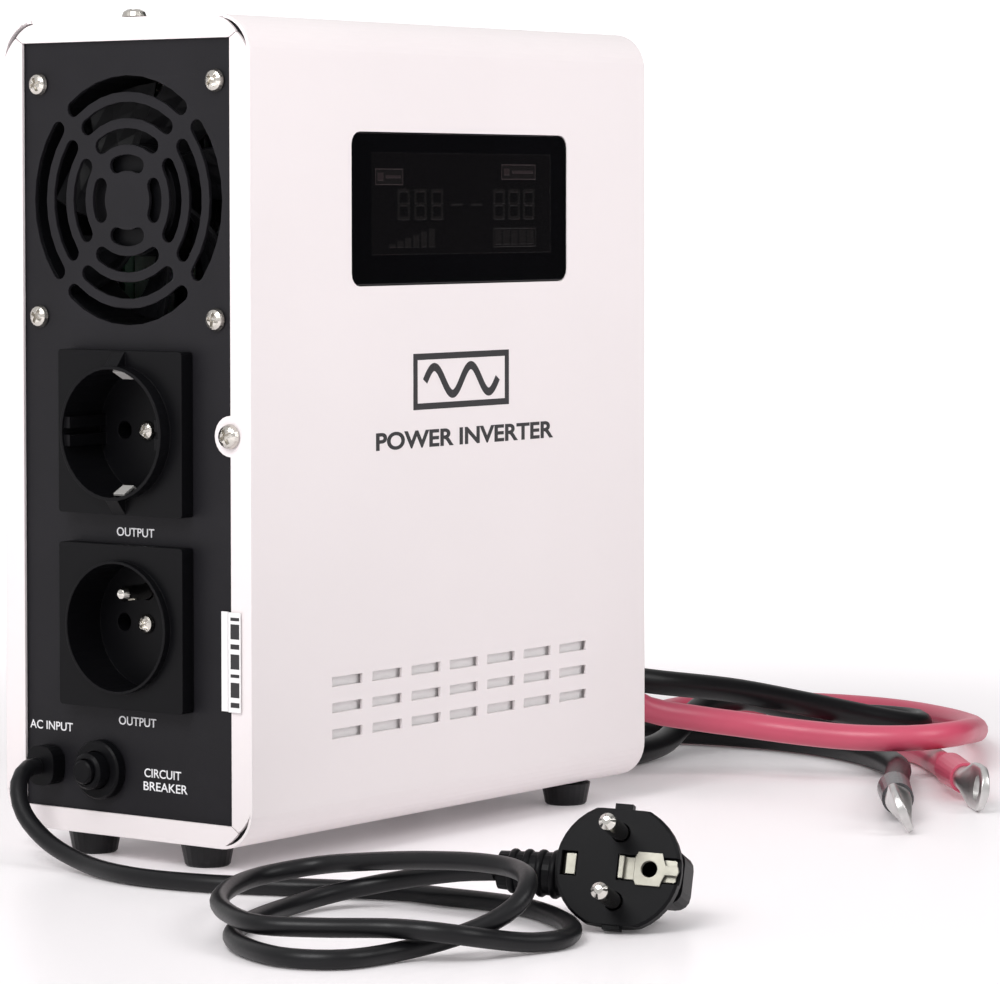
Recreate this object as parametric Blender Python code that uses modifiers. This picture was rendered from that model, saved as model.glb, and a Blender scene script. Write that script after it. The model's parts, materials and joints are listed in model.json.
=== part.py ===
"""Tower power inverter: a folded sheet-metal case round a fan, two mains outlets, a toroidal transformer
and its boards, with a mains lead and two battery leads lying beside it.

The frame: +Z is up and z = 0 is the surface that the feet stand on. The outlets face -X, the display
faces -Y and the battery leads leave at +X. Everything is in metres.
"""

import math

import bmesh
import bpy
from mathutils import Matrix, Vector

# Case. The socket end is at -X, the cable end at +X, the display side at -Y.
CASE_WIDTH = 0.100
CASE_DEPTH = 0.205
CASE_HEIGHT = 0.250
FOOT_HEIGHT = 0.0075
CORNER_RADIUS = 0.012
COVER_SHEET = 0.001
PANEL_SHEET = 0.0012
SIDE_FLANGE = 0.008
TOP_FLANGE = 0.007
CLEARANCE = 0.0003
MITRE_GAP = 0.0002
CRESCENT = 0.0015
FLUSH = 0.00005

# Where the middle of the case lies along X.
CASE_X = 0.0035

SOCKET_END = CASE_X - CASE_DEPTH / 2
CABLE_END = CASE_X + CASE_DEPTH / 2
SIDE = CASE_WIDTH / 2
BASE = FOOT_HEIGHT
TOP = FOOT_HEIGHT + CASE_HEIGHT
PANEL_FACE = SOCKET_END + COVER_SHEET + CLEARANCE
CABLE_FACE = CABLE_END - COVER_SHEET - CLEARANCE
PANEL_BACK = PANEL_FACE + PANEL_SHEET
TAB_RADIUS = 0.0062
TAB_Z = TOP - 0.126
SCREW_INSET = 0.005

# Display window and vent slots in the display side.
WINDOW_X = SOCKET_END + 0.10425
WINDOW_Z = TOP - 0.05825
WINDOW_SIZE = (0.1125, 0.0475)
WINDOW_CORNER = 0.004
SLOT_SIZE = (0.0148, 0.003)
SLOT_PITCH = 0.0197
SLOT_COLUMNS = 7
SLOT_ROWS = (TOP - 0.2025, TOP - 0.2105, TOP - 0.2185)
SLOT_X = SOCKET_END + 0.1045

# Fan.
FAN_SIZE = 0.080
FAN_THICK = 0.025
FAN_BORE = 0.0380
FAN_Z = TOP - 0.0555
FAN_HOLE_PITCH = 0.0715
FAN_HOLE_RADIUS = 0.0022
FAN_FRONT = PANEL_BACK + CLEARANCE
BLADES = 7
HUB_RADIUS = 0.0170
BLADE_TIP = 0.0365
GRILLE_RADII = (0.0115, 0.0195, 0.0275, 0.0355)
GRILLE_SLOT = 0.005
GRILLE_BAR = 0.0044

# Outlets.
OUTLET_PLATE = 0.050
OUTLET_PROUD = 0.005
OUTLET_BARREL = 0.0215
OUTLET_RECESS = 0.0195
CONTACT_PITCH = 0.019
OUTLET_Y = -0.0012
UPPER_OUTLET_Z = TOP - 0.1260
LOWER_OUTLET_Z = TOP - 0.1851
UPPER_COLLAR = 0.0044
LOWER_COLLAR = 0.0025
UPPER_DEPTH = 0.0175
LOWER_DEPTH = 0.0150

# Breaker with its reset button, and the mains strain relief.
BREAKER_Y = 0.0105
BREAKER_Z = TOP - 0.2298
RING_RADIUS = 0.0091
RING_THICK = 0.0035
NECK_RADIUS = 0.0056
NECK_PROUD = 0.0085
BUTTON_PROUD = 0.0103
BUTTON_RADIUS = 0.0037
BUTTON_CLEARANCE = 0.0003
RELIEF_Y = 0.032
RELIEF_Z = TOP - 0.230

# Cable end: glands and the power switch.
GLAND_Y = 0.014
GLAND_Z = 0.038
GLAND_FACE = 0.118
SWITCH_Y = -0.020
SWITCH_Z = 0.205
SWITCH_HALF = (0.0095, 0.0135)
ROCKER_RADIUS = 0.0084
ROCKER_HALF_WIDTH = 0.0055

# Inside.
TRAY_SHEET = 0.001
TRAY_SIDE = 0.0478
TRAY_Z = BASE + 0.0028
TRAY_RADIUS = 0.0104
TRAY_LOW_WALL = BASE + 0.060
TRAY_TALL_WALL = TOP - 0.015
TOROID_X = 0.030
TOROID_Z = BASE + 0.0655
TOROID_RADIUS = 0.058
TOROID_HOLE = 0.019
TOROID_THICK = 0.046
BOARD_SHEET = 0.0016

# Leads. Each route is the centre line, from the housing to the far end.
MAINS_DIAMETER = 0.0054
BATTERY_DIAMETER = 0.009
MAINS_ROUTE = (
    (-0.1046, 0.0320, 0.0275), (-0.1090, 0.0320, 0.0272), (-0.1145, 0.0303, 0.0235),
    (-0.1185, 0.0250, 0.0160), (-0.1205, 0.0140, 0.0085), (-0.1235, -0.0030, 0.0038),
    (-0.1300, -0.0280, 0.0028), (-0.1280, -0.0540, 0.0028), (-0.1190, -0.0780, 0.0028),
    (-0.1053, -0.1121, 0.0028), (-0.1049, -0.1256, 0.0028), (-0.1049, -0.1523, 0.0028),
    (-0.1132, -0.1715, 0.0028), (-0.1270, -0.1877, 0.0028), (-0.1413, -0.1943, 0.0028),
    (-0.1517, -0.1919, 0.0032), (-0.1621, -0.1887, 0.0050), (-0.1731, -0.1854, 0.0074),
    (-0.1792, -0.1783, 0.0087), (-0.1820, -0.1681, 0.0088), (-0.1928, -0.1513, 0.0088),
    (-0.1984, -0.1362, 0.0088), (-0.1901, -0.1186, 0.0088), (-0.1757, -0.1027, 0.0088),
    (-0.1555, -0.0903, 0.0088), (-0.1377, -0.0860, 0.0092), (-0.1240, -0.0950, 0.0112),
    (-0.1236, -0.1149, 0.0142), (-0.1259, -0.1382, 0.0170), (-0.1280, -0.1573, 0.0184),
    (-0.1324, -0.1723, 0.0186), (-0.1443, -0.1854, 0.0176), (-0.1513, -0.1876, 0.0136),
    (-0.1582, -0.1847, 0.0094), (-0.1672, -0.1785, 0.0057), (-0.1804, -0.1709, 0.0030),
    (-0.1997, -0.1653, 0.0028), (-0.2062, -0.1520, 0.0028), (-0.2012, -0.1341, 0.0028),
    (-0.1896, -0.1192, 0.0028), (-0.1716, -0.1091, 0.0028), (-0.1436, -0.1019, 0.0030),
    (-0.1258, -0.1057, 0.0050), (-0.1159, -0.1204, 0.0086), (-0.1120, -0.1390, 0.0120),
    (-0.1101, -0.1490, 0.0129),
)
BLACK_ROUTE = (
    (0.1188, 0.0140, 0.0380), (0.1260, 0.0140, 0.0379), (0.1370, 0.0125, 0.0372),
    (0.1520, 0.0072, 0.0347), (0.1700, -0.0080, 0.0310), (0.2080, -0.0180, 0.0249),
    (0.2440, -0.0250, 0.0172), (0.2660, -0.0310, 0.0120), (0.2850, -0.0380, 0.0075),
    (0.2990, -0.0410, 0.0050), (0.3110, -0.0330, 0.0047), (0.3130, -0.0160, 0.0047),
    (0.3010, 0.0000, 0.0058), (0.2810, 0.0090, 0.0103), (0.2620, 0.0110, 0.0146),
    (0.2460, 0.0110, 0.0154), (0.2320, 0.0110, 0.0146), (0.2160, 0.0090, 0.0102),
    (0.1990, 0.0050, 0.0058), (0.1780, 0.0010, 0.0047), (0.1550, 0.0020, 0.0047),
    (0.1370, 0.0140, 0.0047), (0.1300, 0.0340, 0.0047), (0.1370, 0.0530, 0.0047),
    (0.1550, 0.0640, 0.0047), (0.1780, 0.0650, 0.0047), (0.2000, 0.0570, 0.0047),
    (0.2190, 0.0420, 0.0047), (0.2310, 0.0200, 0.0047), (0.2360, -0.0060, 0.0047),
    (0.2340, -0.0330, 0.0047), (0.2250, -0.0580, 0.0047), (0.2110, -0.0790, 0.0047),
    (0.1920, -0.0970, 0.0049), (0.1640, -0.1140, 0.0065), (0.1310, -0.1330, 0.0078),
)
RED_ROUTE = (
    (0.1210, -0.0140, 0.0380), (0.1260, -0.0140, 0.0375), (0.1340, -0.0160, 0.0336),
    (0.1460, -0.0222, 0.0248), (0.1605, -0.0325, 0.0208), (0.1730, -0.0460, 0.0180),
    (0.1815, -0.0640, 0.0158), (0.1870, -0.0840, 0.0149), (0.1970, -0.1010, 0.0150),
    (0.2130, -0.1065, 0.0151), (0.2320, -0.1010, 0.0137), (0.2520, -0.0920, 0.0113),
    (0.2760, -0.0795, 0.0083), (0.3010, -0.0620, 0.0059), (0.3210, -0.0400, 0.0048),
    (0.3325, -0.0140, 0.0047), (0.3340, 0.0130, 0.0047), (0.3260, 0.0380, 0.0047),
    (0.3080, 0.0550, 0.0047), (0.2860, 0.0610, 0.0047), (0.2670, 0.0530, 0.0047),
    (0.2585, 0.0350, 0.0047), (0.2575, 0.0120, 0.0047), (0.2570, -0.0140, 0.0047),
    (0.2540, -0.0400, 0.0047), (0.2450, -0.0640, 0.0047), (0.2310, -0.0840, 0.0047),
    (0.2125, -0.1010, 0.0051), (0.1830, -0.1235, 0.0075),
)
SLEEVE_RADIUS = 0.0056
SLEEVE_LENGTH = 0.024
LUG_BARREL = 0.0043
LUG_NECK = 0.008
PALM_LENGTH = 0.024
PALM_WIDTH = 0.015
PALM_SHEET = 0.0026
PALM_HOLE = 0.0042
BLACK_END = ((0.1306, -0.1332, 0.0077), 214.2, 23.0)
RED_END = ((0.1825, -0.1240, 0.0077), 222.2, -8.0)

# Plug: where the middle of its face lies and how it is turned.
PLUG_PLACE = (-0.1097, -0.1904, 0.0180)
PLUG_TURN = 202.0
PLUG_TILT = 18.5
PLUG_ROLL = -2.5
PLUG_RADIUS = 0.0178
PLUG_FLAT = 0.0161
PIN_RADIUS = 0.0024
PIN_LENGTH = 0.019
BOOT_DEPTH = -0.0150
BOOT_DROP = 0.0013
BOOT_REACH = 0.0370


# ---------------------------------------------------------------- scene, materials and shape helpers


def clear_scene():
    for obj in list(bpy.data.objects):
        bpy.data.objects.remove(obj, do_unlink=True)


def new_collection(name, rendered=True):
    collection = bpy.data.collections.new(name)
    bpy.context.scene.collection.children.link(collection)
    collection.hide_render = not rendered
    return collection


def material(name, colour, roughness, metallic=0.0):
    made = bpy.data.materials.new(name)
    made.use_nodes = True
    shader = made.node_tree.nodes["Principled BSDF"]
    shader.inputs["Base Color"].default_value = (*colour, 1.0)
    shader.inputs["Roughness"].default_value = roughness
    shader.inputs["Metallic"].default_value = metallic
    return made


clear_scene()
PARTS = new_collection("power_inverter")
CUTTERS = new_collection("cutters", rendered=False)

PLANES = {
    "XY": Matrix.Identity(3),
    "XZ": Matrix(((1, 0, 0), (0, 0, -1), (0, 1, 0))),
    "YZ": Matrix(((0, 0, 1), (1, 0, 0), (0, 1, 0))),
}
NORMAL_AXIS = {"XY": 2, "XZ": 1, "YZ": 0}


def mesh_object(name, bm):
    mesh = bpy.data.meshes.new(name)
    bm.to_mesh(mesh)
    bm.free()
    obj = bpy.data.objects.new(name, mesh)
    PARTS.objects.link(obj)
    return obj


def box(name, low, high):
    low, high = Vector(low), Vector(high)
    bm = bmesh.new()
    bmesh.ops.create_cube(bm, size=1.0, matrix=Matrix.Diagonal((*(high - low), 1.0)))
    obj = mesh_object(name, bm)
    obj.location = (low + high) / 2
    return obj


def rod(name, start, end, radius, end_radius=None, segments=32):
    start, end = Vector(start), Vector(end)
    bm = bmesh.new()
    bmesh.ops.create_cone(
        bm,
        cap_ends=True,
        segments=segments,
        radius1=radius,
        radius2=radius if end_radius is None else end_radius,
        depth=(end - start).length,
    )
    obj = mesh_object(name, bm)
    obj.location = (start + end) / 2
    obj.rotation_euler = (end - start).to_track_quat("Z", "Y").to_euler()
    return obj


def turned(name, profile, origin, axis=(0, 0, 1), steps=24, closed=False):
    """A turned solid. The profile is (radius, height) pairs that run down the outer side."""
    bm = bmesh.new()
    points = [bm.verts.new((radius, 0.0, height)) for radius, height in profile]
    for first, second in zip(points, points[1:]):
        bm.edges.new((first, second))
    if closed:
        bm.edges.new((points[-1], points[0]))
    obj = mesh_object(name, bm)
    obj.location = origin
    obj.rotation_euler = Vector(axis).to_track_quat("Z", "Y").to_euler()
    screw = obj.modifiers.new("turn", "SCREW")
    screw.axis = "Z"
    screw.angle = math.tau
    screw.steps = screw.render_steps = steps
    screw.use_merge_vertices = True
    screw.merge_threshold = 0.00001
    screw.use_smooth_shade = True
    return obj


def solid_copy(obj, name):
    """A plain mesh of an object with its modifiers or its curve worked out, welded and facing out."""
    graph = bpy.context.evaluated_depsgraph_get()
    mesh = bpy.data.meshes.new_from_object(obj.evaluated_get(graph))
    bm = bmesh.new()
    bm.from_mesh(mesh)
    bmesh.ops.remove_doubles(bm, verts=bm.verts, dist=0.000001)
    bmesh.ops.recalc_face_normals(bm, faces=bm.faces)
    bm.to_mesh(mesh)
    bm.free()
    mesh.name = name
    copy = bpy.data.objects.new(name, mesh)
    PARTS.objects.link(copy)
    copy.matrix_world = obj.matrix_world.copy()
    return copy


def plate(name, outlines, plane, middle, thickness):
    """A flat plate. The first outline is its edge and the others are holes in it."""
    curve = bpy.data.curves.new(name, "CURVE")
    curve.dimensions = "2D"
    curve.fill_mode = "BOTH"
    curve.extrude = thickness / 2
    for outline in outlines:
        spline = curve.splines.new("POLY")
        spline.points.add(len(outline) - 1)
        for point, (across, up) in zip(spline.points, outline):
            point.co = (across, up, 0.0, 1.0)
        spline.use_cyclic_u = True
    flat = bpy.data.objects.new(name + "_outline", curve)
    PARTS.objects.link(flat)
    flat.rotation_euler = PLANES[plane].to_euler()
    flat.location[NORMAL_AXIS[plane]] = middle
    bpy.context.view_layer.update()
    obj = solid_copy(flat, name)
    bpy.data.objects.remove(flat)
    return obj


def folded(name, profile, start, end, thickness):
    """Sheet folded along X from a (y, z) profile, whose sheet thickness lies inside the profile."""
    bm = bmesh.new()
    points = [bm.verts.new((start, y, z)) for y, z in profile]
    edges = [bm.edges.new(pair) for pair in zip(points, points[1:])]
    made = bmesh.ops.extrude_edge_only(bm, edges=edges)["geom"]
    moved = [item for item in made if isinstance(item, bmesh.types.BMVert)]
    bmesh.ops.translate(bm, verts=moved, vec=(end - start, 0.0, 0.0))
    bm.normal_update()
    middle = Vector((0.0, 0.0, (BASE + TOP) / 2))
    outward = sum((face.calc_center_median() - middle).dot(face.normal) * face.calc_area() for face in bm.faces)
    if outward < 0:
        bmesh.ops.reverse_faces(bm, faces=bm.faces)
    obj = mesh_object(name, bm)
    solidify = obj.modifiers.new("sheet", "SOLIDIFY")
    solidify.thickness = thickness
    solidify.offset = -1.0
    solidify.use_even_offset = True
    return obj


def as_tool(tool):
    for collection in list(tool.users_collection):
        collection.objects.unlink(tool)
    CUTTERS.objects.link(tool)
    tool.hide_render = True
    tool.display_type = "WIRE"


def combine(obj, tools, operation):
    for tool in tools:
        modifier = obj.modifiers.new(tool.name, "BOOLEAN")
        modifier.operation = operation
        modifier.object = tool
        as_tool(tool)


def cut(obj, *tools):
    combine(obj, tools, "DIFFERENCE")


def join(obj, *tools):
    combine(obj, tools, "UNION")


def many(name, objects):
    """One mesh that holds several apart shapes, for use as a single cutter or addition."""
    bpy.context.view_layer.update()
    bm = bmesh.new()
    for obj in objects:
        piece = obj.data.copy()
        piece.transform(obj.matrix_world)
        bm.from_mesh(piece)
        bpy.data.meshes.remove(piece)
        bpy.data.objects.remove(obj)
    return mesh_object(name, bm)


def finish(obj, look, smooth_angle=35.0):
    obj.data.materials.clear()
    obj.data.materials.append(look)
    if obj.type == "MESH" and obj.data.polygons:
        obj.data.shade_smooth()
        obj.data.set_sharp_from_angle(angle=math.radians(smooth_angle))
    return obj


def arc(centre, radius, start, end, count):
    """Points along an arc, from start to end in degrees, both ends included."""
    angles = [math.radians(start + (end - start) * i / count) for i in range(count + 1)]
    return [(centre[0] + radius * math.cos(a), centre[1] + radius * math.sin(a)) for a in angles]


def circle(centre, radius, count=24):
    return arc(centre, radius, 0.0, 360.0, count)[:-1]


def rounded(centre, width, height, radius, count=4):
    across, up = width / 2 - radius, height / 2 - radius
    points = []
    for turn, (x, y) in enumerate(((across, up), (-across, up), (-across, -up), (across, -up))):
        points += arc((centre[0] + x, centre[1] + y), radius, 90.0 * turn, 90.0 * turn + 90.0, count)
    return points


# ---------------------------------------------------------------- case


def corner_points(side, level, start, end, count=5, loose=False):
    """The flange's edge inside one rounded corner of the cover, which it leaves by a crescent gap.

    side is -1 or 1 along Y, level -1 or 1 along Z, and the angles run from 0 at the side to 90 at the top
    or bottom. A loose corner belongs to the other cover, so the flange keeps clear of it all the way.
    """
    inner = CORNER_RADIUS - COVER_SHEET
    most = inner - CLEARANCE if loose else CORNER_RADIUS - COVER_SHEET / 2
    centre_y = side * (SIDE - CORNER_RADIUS)
    centre_z = (TOP if level > 0 else BASE) - level * CORNER_RADIUS
    points = []
    for i in range(count + 1):
        angle = math.radians(start + (end - start) * i / count)
        radius = most - (most - inner + CRESCENT) * math.sin(2 * angle)
        points.append((centre_y + side * radius * math.cos(angle), centre_z + level * radius * math.sin(angle)))
    return points


def flange_corner(side, level):
    edge = TOP if level > 0 else BASE
    return side * (SIDE - SIDE_FLANGE), edge - level * TOP_FLANGE


def level_flange(level):
    """Outline of the main cover's top or bottom flange."""
    edge = TOP if level > 0 else BASE
    attached = corner_points(-1, level, 45.0, 90.0)
    loose = corner_points(1, level, 90.0, 45.0, loose=True)
    attached[0] = (attached[0][0] + MITRE_GAP, attached[0][1])
    loose[-1] = (loose[-1][0] - MITRE_GAP, loose[-1][1])
    right, left = flange_corner(-1, level), flange_corner(1, level)
    step = SIDE - CORNER_RADIUS - 2 * CLEARANCE
    outer = [(step, edge - level * COVER_SHEET / 2), (step, loose[0][1])]
    return [(right[0] + MITRE_GAP, right[1])] + attached + outer + loose[1:] + [(left[0] - MITRE_GAP, left[1])]


def side_flange(side, tab):
    """Outline of a cover's side flange, with a round screw tab half way up if tab is true."""
    upper = corner_points(side, 1, 45.0, 0.0)
    lower = corner_points(side, -1, 0.0, 45.0)
    upper[0] = (upper[0][0], upper[0][1] - MITRE_GAP)
    lower[-1] = (lower[-1][0], lower[-1][1] + MITRE_GAP)
    top, bottom = flange_corner(side, 1), flange_corner(side, -1)
    outline = [(top[0], top[1] - MITRE_GAP)] + upper + lower + [(bottom[0], bottom[1] + MITRE_GAP)]
    if tab:
        turn = 180.0 if side > 0 else 0.0
        sweep = 90.0 * side
        outline += arc((top[0], TAB_Z), TAB_RADIUS, turn + sweep, turn - sweep, 12)
    return outline


def cover_flanges(name, side, tabs, with_levels):
    """Every flange of one cover, at both of its ends."""
    plates = []
    ends = (SOCKET_END + COVER_SHEET / 2 + FLUSH, CABLE_END - COVER_SHEET / 2 - FLUSH)
    for number, (middle, tab) in enumerate(zip(ends, tabs)):
        outlines = [side_flange(side, tab)]
        if tab:
            outlines.append(circle((side * (SIDE - SIDE_FLANGE), TAB_Z), 0.0018, 16))
        plates.append(plate(f"{name}_{number}", outlines, "YZ", middle, COVER_SHEET))
        if with_levels:
            for level in (1, -1):
                plates.append(plate(f"{name}_{number}_{level}", [level_flange(level)], "YZ", middle, COVER_SHEET))
    return many(name, plates)


def screw_hole_tools(name, places, axis, radius=0.0018, depth=0.006):
    direction = Vector(axis)
    rods = [
        rod(f"{name}_{n}", Vector(p) - direction * depth, Vector(p) + direction * depth, radius, segments=16)
        for n, p in enumerate(places)
    ]
    return many(name, rods)


def make_covers(white):
    seam = SIDE - CORNER_RADIUS - CLEARANCE / 2
    upper, lower = TOP - CORNER_RADIUS, BASE + CORNER_RADIUS
    display_profile = [(seam, TOP)]
    display_profile += arc((CORNER_RADIUS - SIDE, upper), CORNER_RADIUS, 90.0, 180.0, 10)
    display_profile += arc((CORNER_RADIUS - SIDE, lower), CORNER_RADIUS, 180.0, 270.0, 10)
    display_profile += [(seam, BASE)]
    main = folded("main_cover", display_profile, SOCKET_END, CABLE_END, COVER_SHEET)
    join(main, cover_flanges("main_flanges", -1, (True, True), True))
    slots = []
    for row, z in enumerate(SLOT_ROWS):
        for column in range(SLOT_COLUMNS):
            x = SLOT_X + (column - (SLOT_COLUMNS - 1) / 2) * SLOT_PITCH
            low = (x - SLOT_SIZE[0] / 2, -SIDE - 0.002, z - SLOT_SIZE[1] / 2)
            high = (x + SLOT_SIZE[0] / 2, -SIDE + 0.003, z + SLOT_SIZE[1] / 2)
            slots.append(box(f"slot_{row}_{column}", low, high))
    window = plate(
        "window_hole", [rounded((WINDOW_X, WINDOW_Z), *WINDOW_SIZE, WINDOW_CORNER)], "XZ", -SIDE, 0.006
    )
    top_holes = screw_hole_tools(
        "top_holes", [(SOCKET_END + SCREW_INSET, 0.0, TOP), (CABLE_END - SCREW_INSET, 0.0, TOP)], (0, 0, 1)
    )
    cut(main, many("display_openings", slots + [window]), top_holes)
    finish(main, white, 30.0)

    seam += CLEARANCE
    plain_profile = arc((SIDE - CORNER_RADIUS, upper), CORNER_RADIUS, 90.0, 0.0, 10)
    plain_profile += arc((SIDE - CORNER_RADIUS, lower), CORNER_RADIUS, 0.0, -90.0, 10)
    plain_profile[0] = (seam, plain_profile[0][1])
    plain_profile[-1] = (seam, plain_profile[-1][1])
    plain = folded("plain_side_cover", plain_profile, SOCKET_END, CABLE_END, COVER_SHEET)
    lips = []
    for number, level in enumerate((1, -1)):
        edge = TOP if level > 0 else BASE
        heights = sorted(edge - level * depth for depth in (COVER_SHEET + CLEARANCE, 2 * COVER_SHEET + CLEARANCE))
        low = (SOCKET_END + 0.008, 0.0310, heights[0])
        high = (CABLE_END - 0.008, 0.0430, heights[1])
        lips.append(box(f"plain_lip_{number}", low, high))
    join(plain, cover_flanges("plain_flanges", 1, (False, True), False), many("plain_lips", lips))
    finish(plain, white, 30.0)


def grille_slots():
    """Sixteen arc slots with round ends, in four rings, split by bars on the diagonals."""
    slots = []
    for radius in GRILLE_RADII:
        half = 45.0 - math.degrees(math.asin(GRILLE_BAR / radius))
        count = max(3, round(half / 5.0))
        for turn in (0.0, 90.0, 180.0, 270.0):
            outer = arc((0.0, 0.0), radius + GRILLE_SLOT / 2, turn - half, turn + half, count)
            inner = arc((0.0, 0.0), radius - GRILLE_SLOT / 2, turn + half, turn - half, count)
            ends = []
            for angle, sign in ((turn + half, 1), (turn - half, -1)):
                a = math.radians(angle)
                middle = (radius * math.cos(a), radius * math.sin(a))
                start = angle if sign > 0 else angle + 180.0
                ends.append(arc(middle, GRILLE_SLOT / 2, start, start + 180.0, 6)[1:-1])
            slots.append([(y, z + FAN_Z) for y, z in outer + ends[0] + inner + ends[1]])
    return slots


def panel_outline():
    height = CASE_HEIGHT - 2 * (COVER_SHEET + 0.0005)
    width = CASE_WIDTH - 2 * (COVER_SHEET + 0.0005)
    return rounded((0.0, (BASE + TOP) / 2), width, height, 0.011)


def panel_lips(name, face, inward):
    """The folded top and bottom lips of an end panel. inward is the way into the case along X."""
    lips = []
    for number, level in enumerate((1, -1)):
        edge = TOP if level > 0 else BASE
        heights = sorted(
            edge - level * depth for depth in (COVER_SHEET + CLEARANCE, COVER_SHEET + CLEARANCE + PANEL_SHEET)
        )
        ends = sorted((face + inward * 0.0002, face + inward * 0.0130))
        lips.append(box(f"{name}_{number}", (ends[0], -0.028, heights[0]), (ends[1], 0.028, heights[1])))
    return many(name, lips)


def make_end_panels(satin):
    fan_holes = [
        circle((y * FAN_HOLE_PITCH / 2, FAN_Z + z * FAN_HOLE_PITCH / 2), 0.0018, 16)
        for y in (-1, 1)
        for z in (-1, 1)
    ]
    holes = grille_slots() + fan_holes
    holes += [circle((OUTLET_Y, z), OUTLET_BARREL + CLEARANCE, 32) for z in (UPPER_OUTLET_Z, LOWER_OUTLET_Z)]
    holes.append(circle((BREAKER_Y, BREAKER_Z), NECK_RADIUS + CLEARANCE))
    holes.append(circle((RELIEF_Y, RELIEF_Z), 0.0053))
    holes.append(circle((SIDE_FLANGE - SIDE, TAB_Z), 0.0018, 16))
    socket = plate("socket_panel", [panel_outline()] + holes, "YZ", PANEL_FACE + PANEL_SHEET / 2, PANEL_SHEET)
    join(socket, panel_lips("socket_lips", PANEL_FACE, 1))
    cut(socket, screw_hole_tools("socket_lip_hole", [(SOCKET_END + SCREW_INSET, 0.0, TOP)], (0, 0, 1)))
    finish(socket, satin)

    holes = [circle((y, GLAND_Z), 0.0063) for y in (-GLAND_Y, GLAND_Y)]
    holes.append(rounded((SWITCH_Y, SWITCH_Z), 0.0140, 0.0200, 0.0005, 2))
    for row in range(9):
        for y in (-0.022, 0.022):
            holes.append(rounded((y, 0.078 + 0.010 * row + 0.0001 * (y > 0)), 0.030, 0.0036, 0.0015, 4))
    holes += [circle((side * (SIDE - SIDE_FLANGE), TAB_Z), 0.0018, 16) for side in (-1, 1)]
    cable = plate("cable_panel", [panel_outline()] + holes, "YZ", CABLE_FACE - PANEL_SHEET / 2, PANEL_SHEET)
    join(cable, panel_lips("cable_lips", CABLE_FACE, -1))
    cut(cable, screw_hole_tools("cable_lip_hole", [(CABLE_END - SCREW_INSET, 0.0, TOP)], (0, 0, 1)))
    finish(cable, satin)


def make_chassis(white):
    centre_z = TRAY_Z + TRAY_RADIUS
    centre_y = TRAY_SIDE - TRAY_RADIUS
    profile = [(-TRAY_SIDE, TRAY_LOW_WALL)]
    profile += arc((-centre_y, centre_z), TRAY_RADIUS, 180.0, 270.0, 6)
    profile += arc((centre_y, centre_z), TRAY_RADIUS, 270.0, 360.0, 6)
    profile.append((TRAY_SIDE, TRAY_TALL_WALL))
    start, end = PANEL_BACK + CLEARANCE, CABLE_FACE - PANEL_SHEET - CLEARANCE
    tray = folded("chassis_tray", profile, start, end, TRAY_SHEET)
    inside = TRAY_SIDE - TRAY_SHEET / 2
    posts = [
        rod(f"post_{n}", (x, 0.0411, z), (x, inside, z), 0.003, segments=12)
        for n, (x, z) in enumerate(((-0.050, 0.146), (0.090, 0.146), (-0.050, 0.230), (0.090, 0.230)))
    ]
    boss = rod("transformer_boss", (TOROID_X, 0.0300, TOROID_Z), (TOROID_X, inside, TOROID_Z), 0.006, segments=24)
    join(tray, many("posts", posts + [boss]))
    cut(tray, rod("boss_bore", (TOROID_X, 0.0250, TOROID_Z), (TOROID_X, 0.0450, TOROID_Z), 0.0033, segments=24))
    finish(tray, white, 30.0)


def make_feet(rubber):
    profile = (
        (0.0, 0.0072), (0.0083, 0.0072), (0.0070, 0.0006), (0.0064, 0.0),
        (0.0034, 0.0), (0.0034, 0.0045), (0.0, 0.0045),
    )
    places = {
        "foot_socket_display": (SOCKET_END + 0.011, -0.023),
        "foot_socket_plain": (SOCKET_END + 0.011, 0.023),
        "foot_cable_display": (CABLE_END - 0.024, -0.0345),
        "foot_cable_plain": (CABLE_END - 0.024, 0.0345),
    }
    for name, (x, y) in places.items():
        finish(turned(name, profile, (x, y, 0.0)), rubber)


# ---------------------------------------------------------------- screws


def pan_screw_mesh(name, head, height, shank, length):
    """A pan-head screw with a cross recess, its head standing on z = 0 and its shank below."""
    profile = (
        (0.0, height), (0.55 * head, 0.92 * height), (0.87 * head, 0.62 * height),
        (head, 0.10 * height), (head, 0.0), (shank, 0.0), (shank, -length), (0.0, -length),
    )
    blank = turned(name + "_blank", profile, (0, 0, 0), steps=16)
    wide, long = 0.16 * head, 0.62 * head
    quarter = [(long, -wide), (long, wide), (wide, wide)]
    outline = []
    for turn in range(4):
        spin = Matrix.Rotation(math.radians(90 * turn), 2)
        outline += [tuple(spin @ Vector(point)) for point in quarter]
    recess = plate(name + "_recess", [outline], "XY", height, 1.3 * height)
    cut(blank, recess)
    bpy.context.view_layer.update()
    finished = solid_copy(blank, name + "_mesh")
    mesh = finished.data
    for obj in (blank, recess, finished):
        bpy.data.objects.remove(obj)
    return mesh


def place_screw(name, mesh, place, outward, look, spin=0.0):
    obj = bpy.data.objects.new(name, mesh)
    PARTS.objects.link(obj)
    obj.location = place
    turn = Vector(outward).to_track_quat("Z", "Y").to_matrix() @ Matrix.Rotation(math.radians(spin), 3, "Z")
    obj.rotation_euler = turn.to_euler()
    finish(obj, look)


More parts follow.
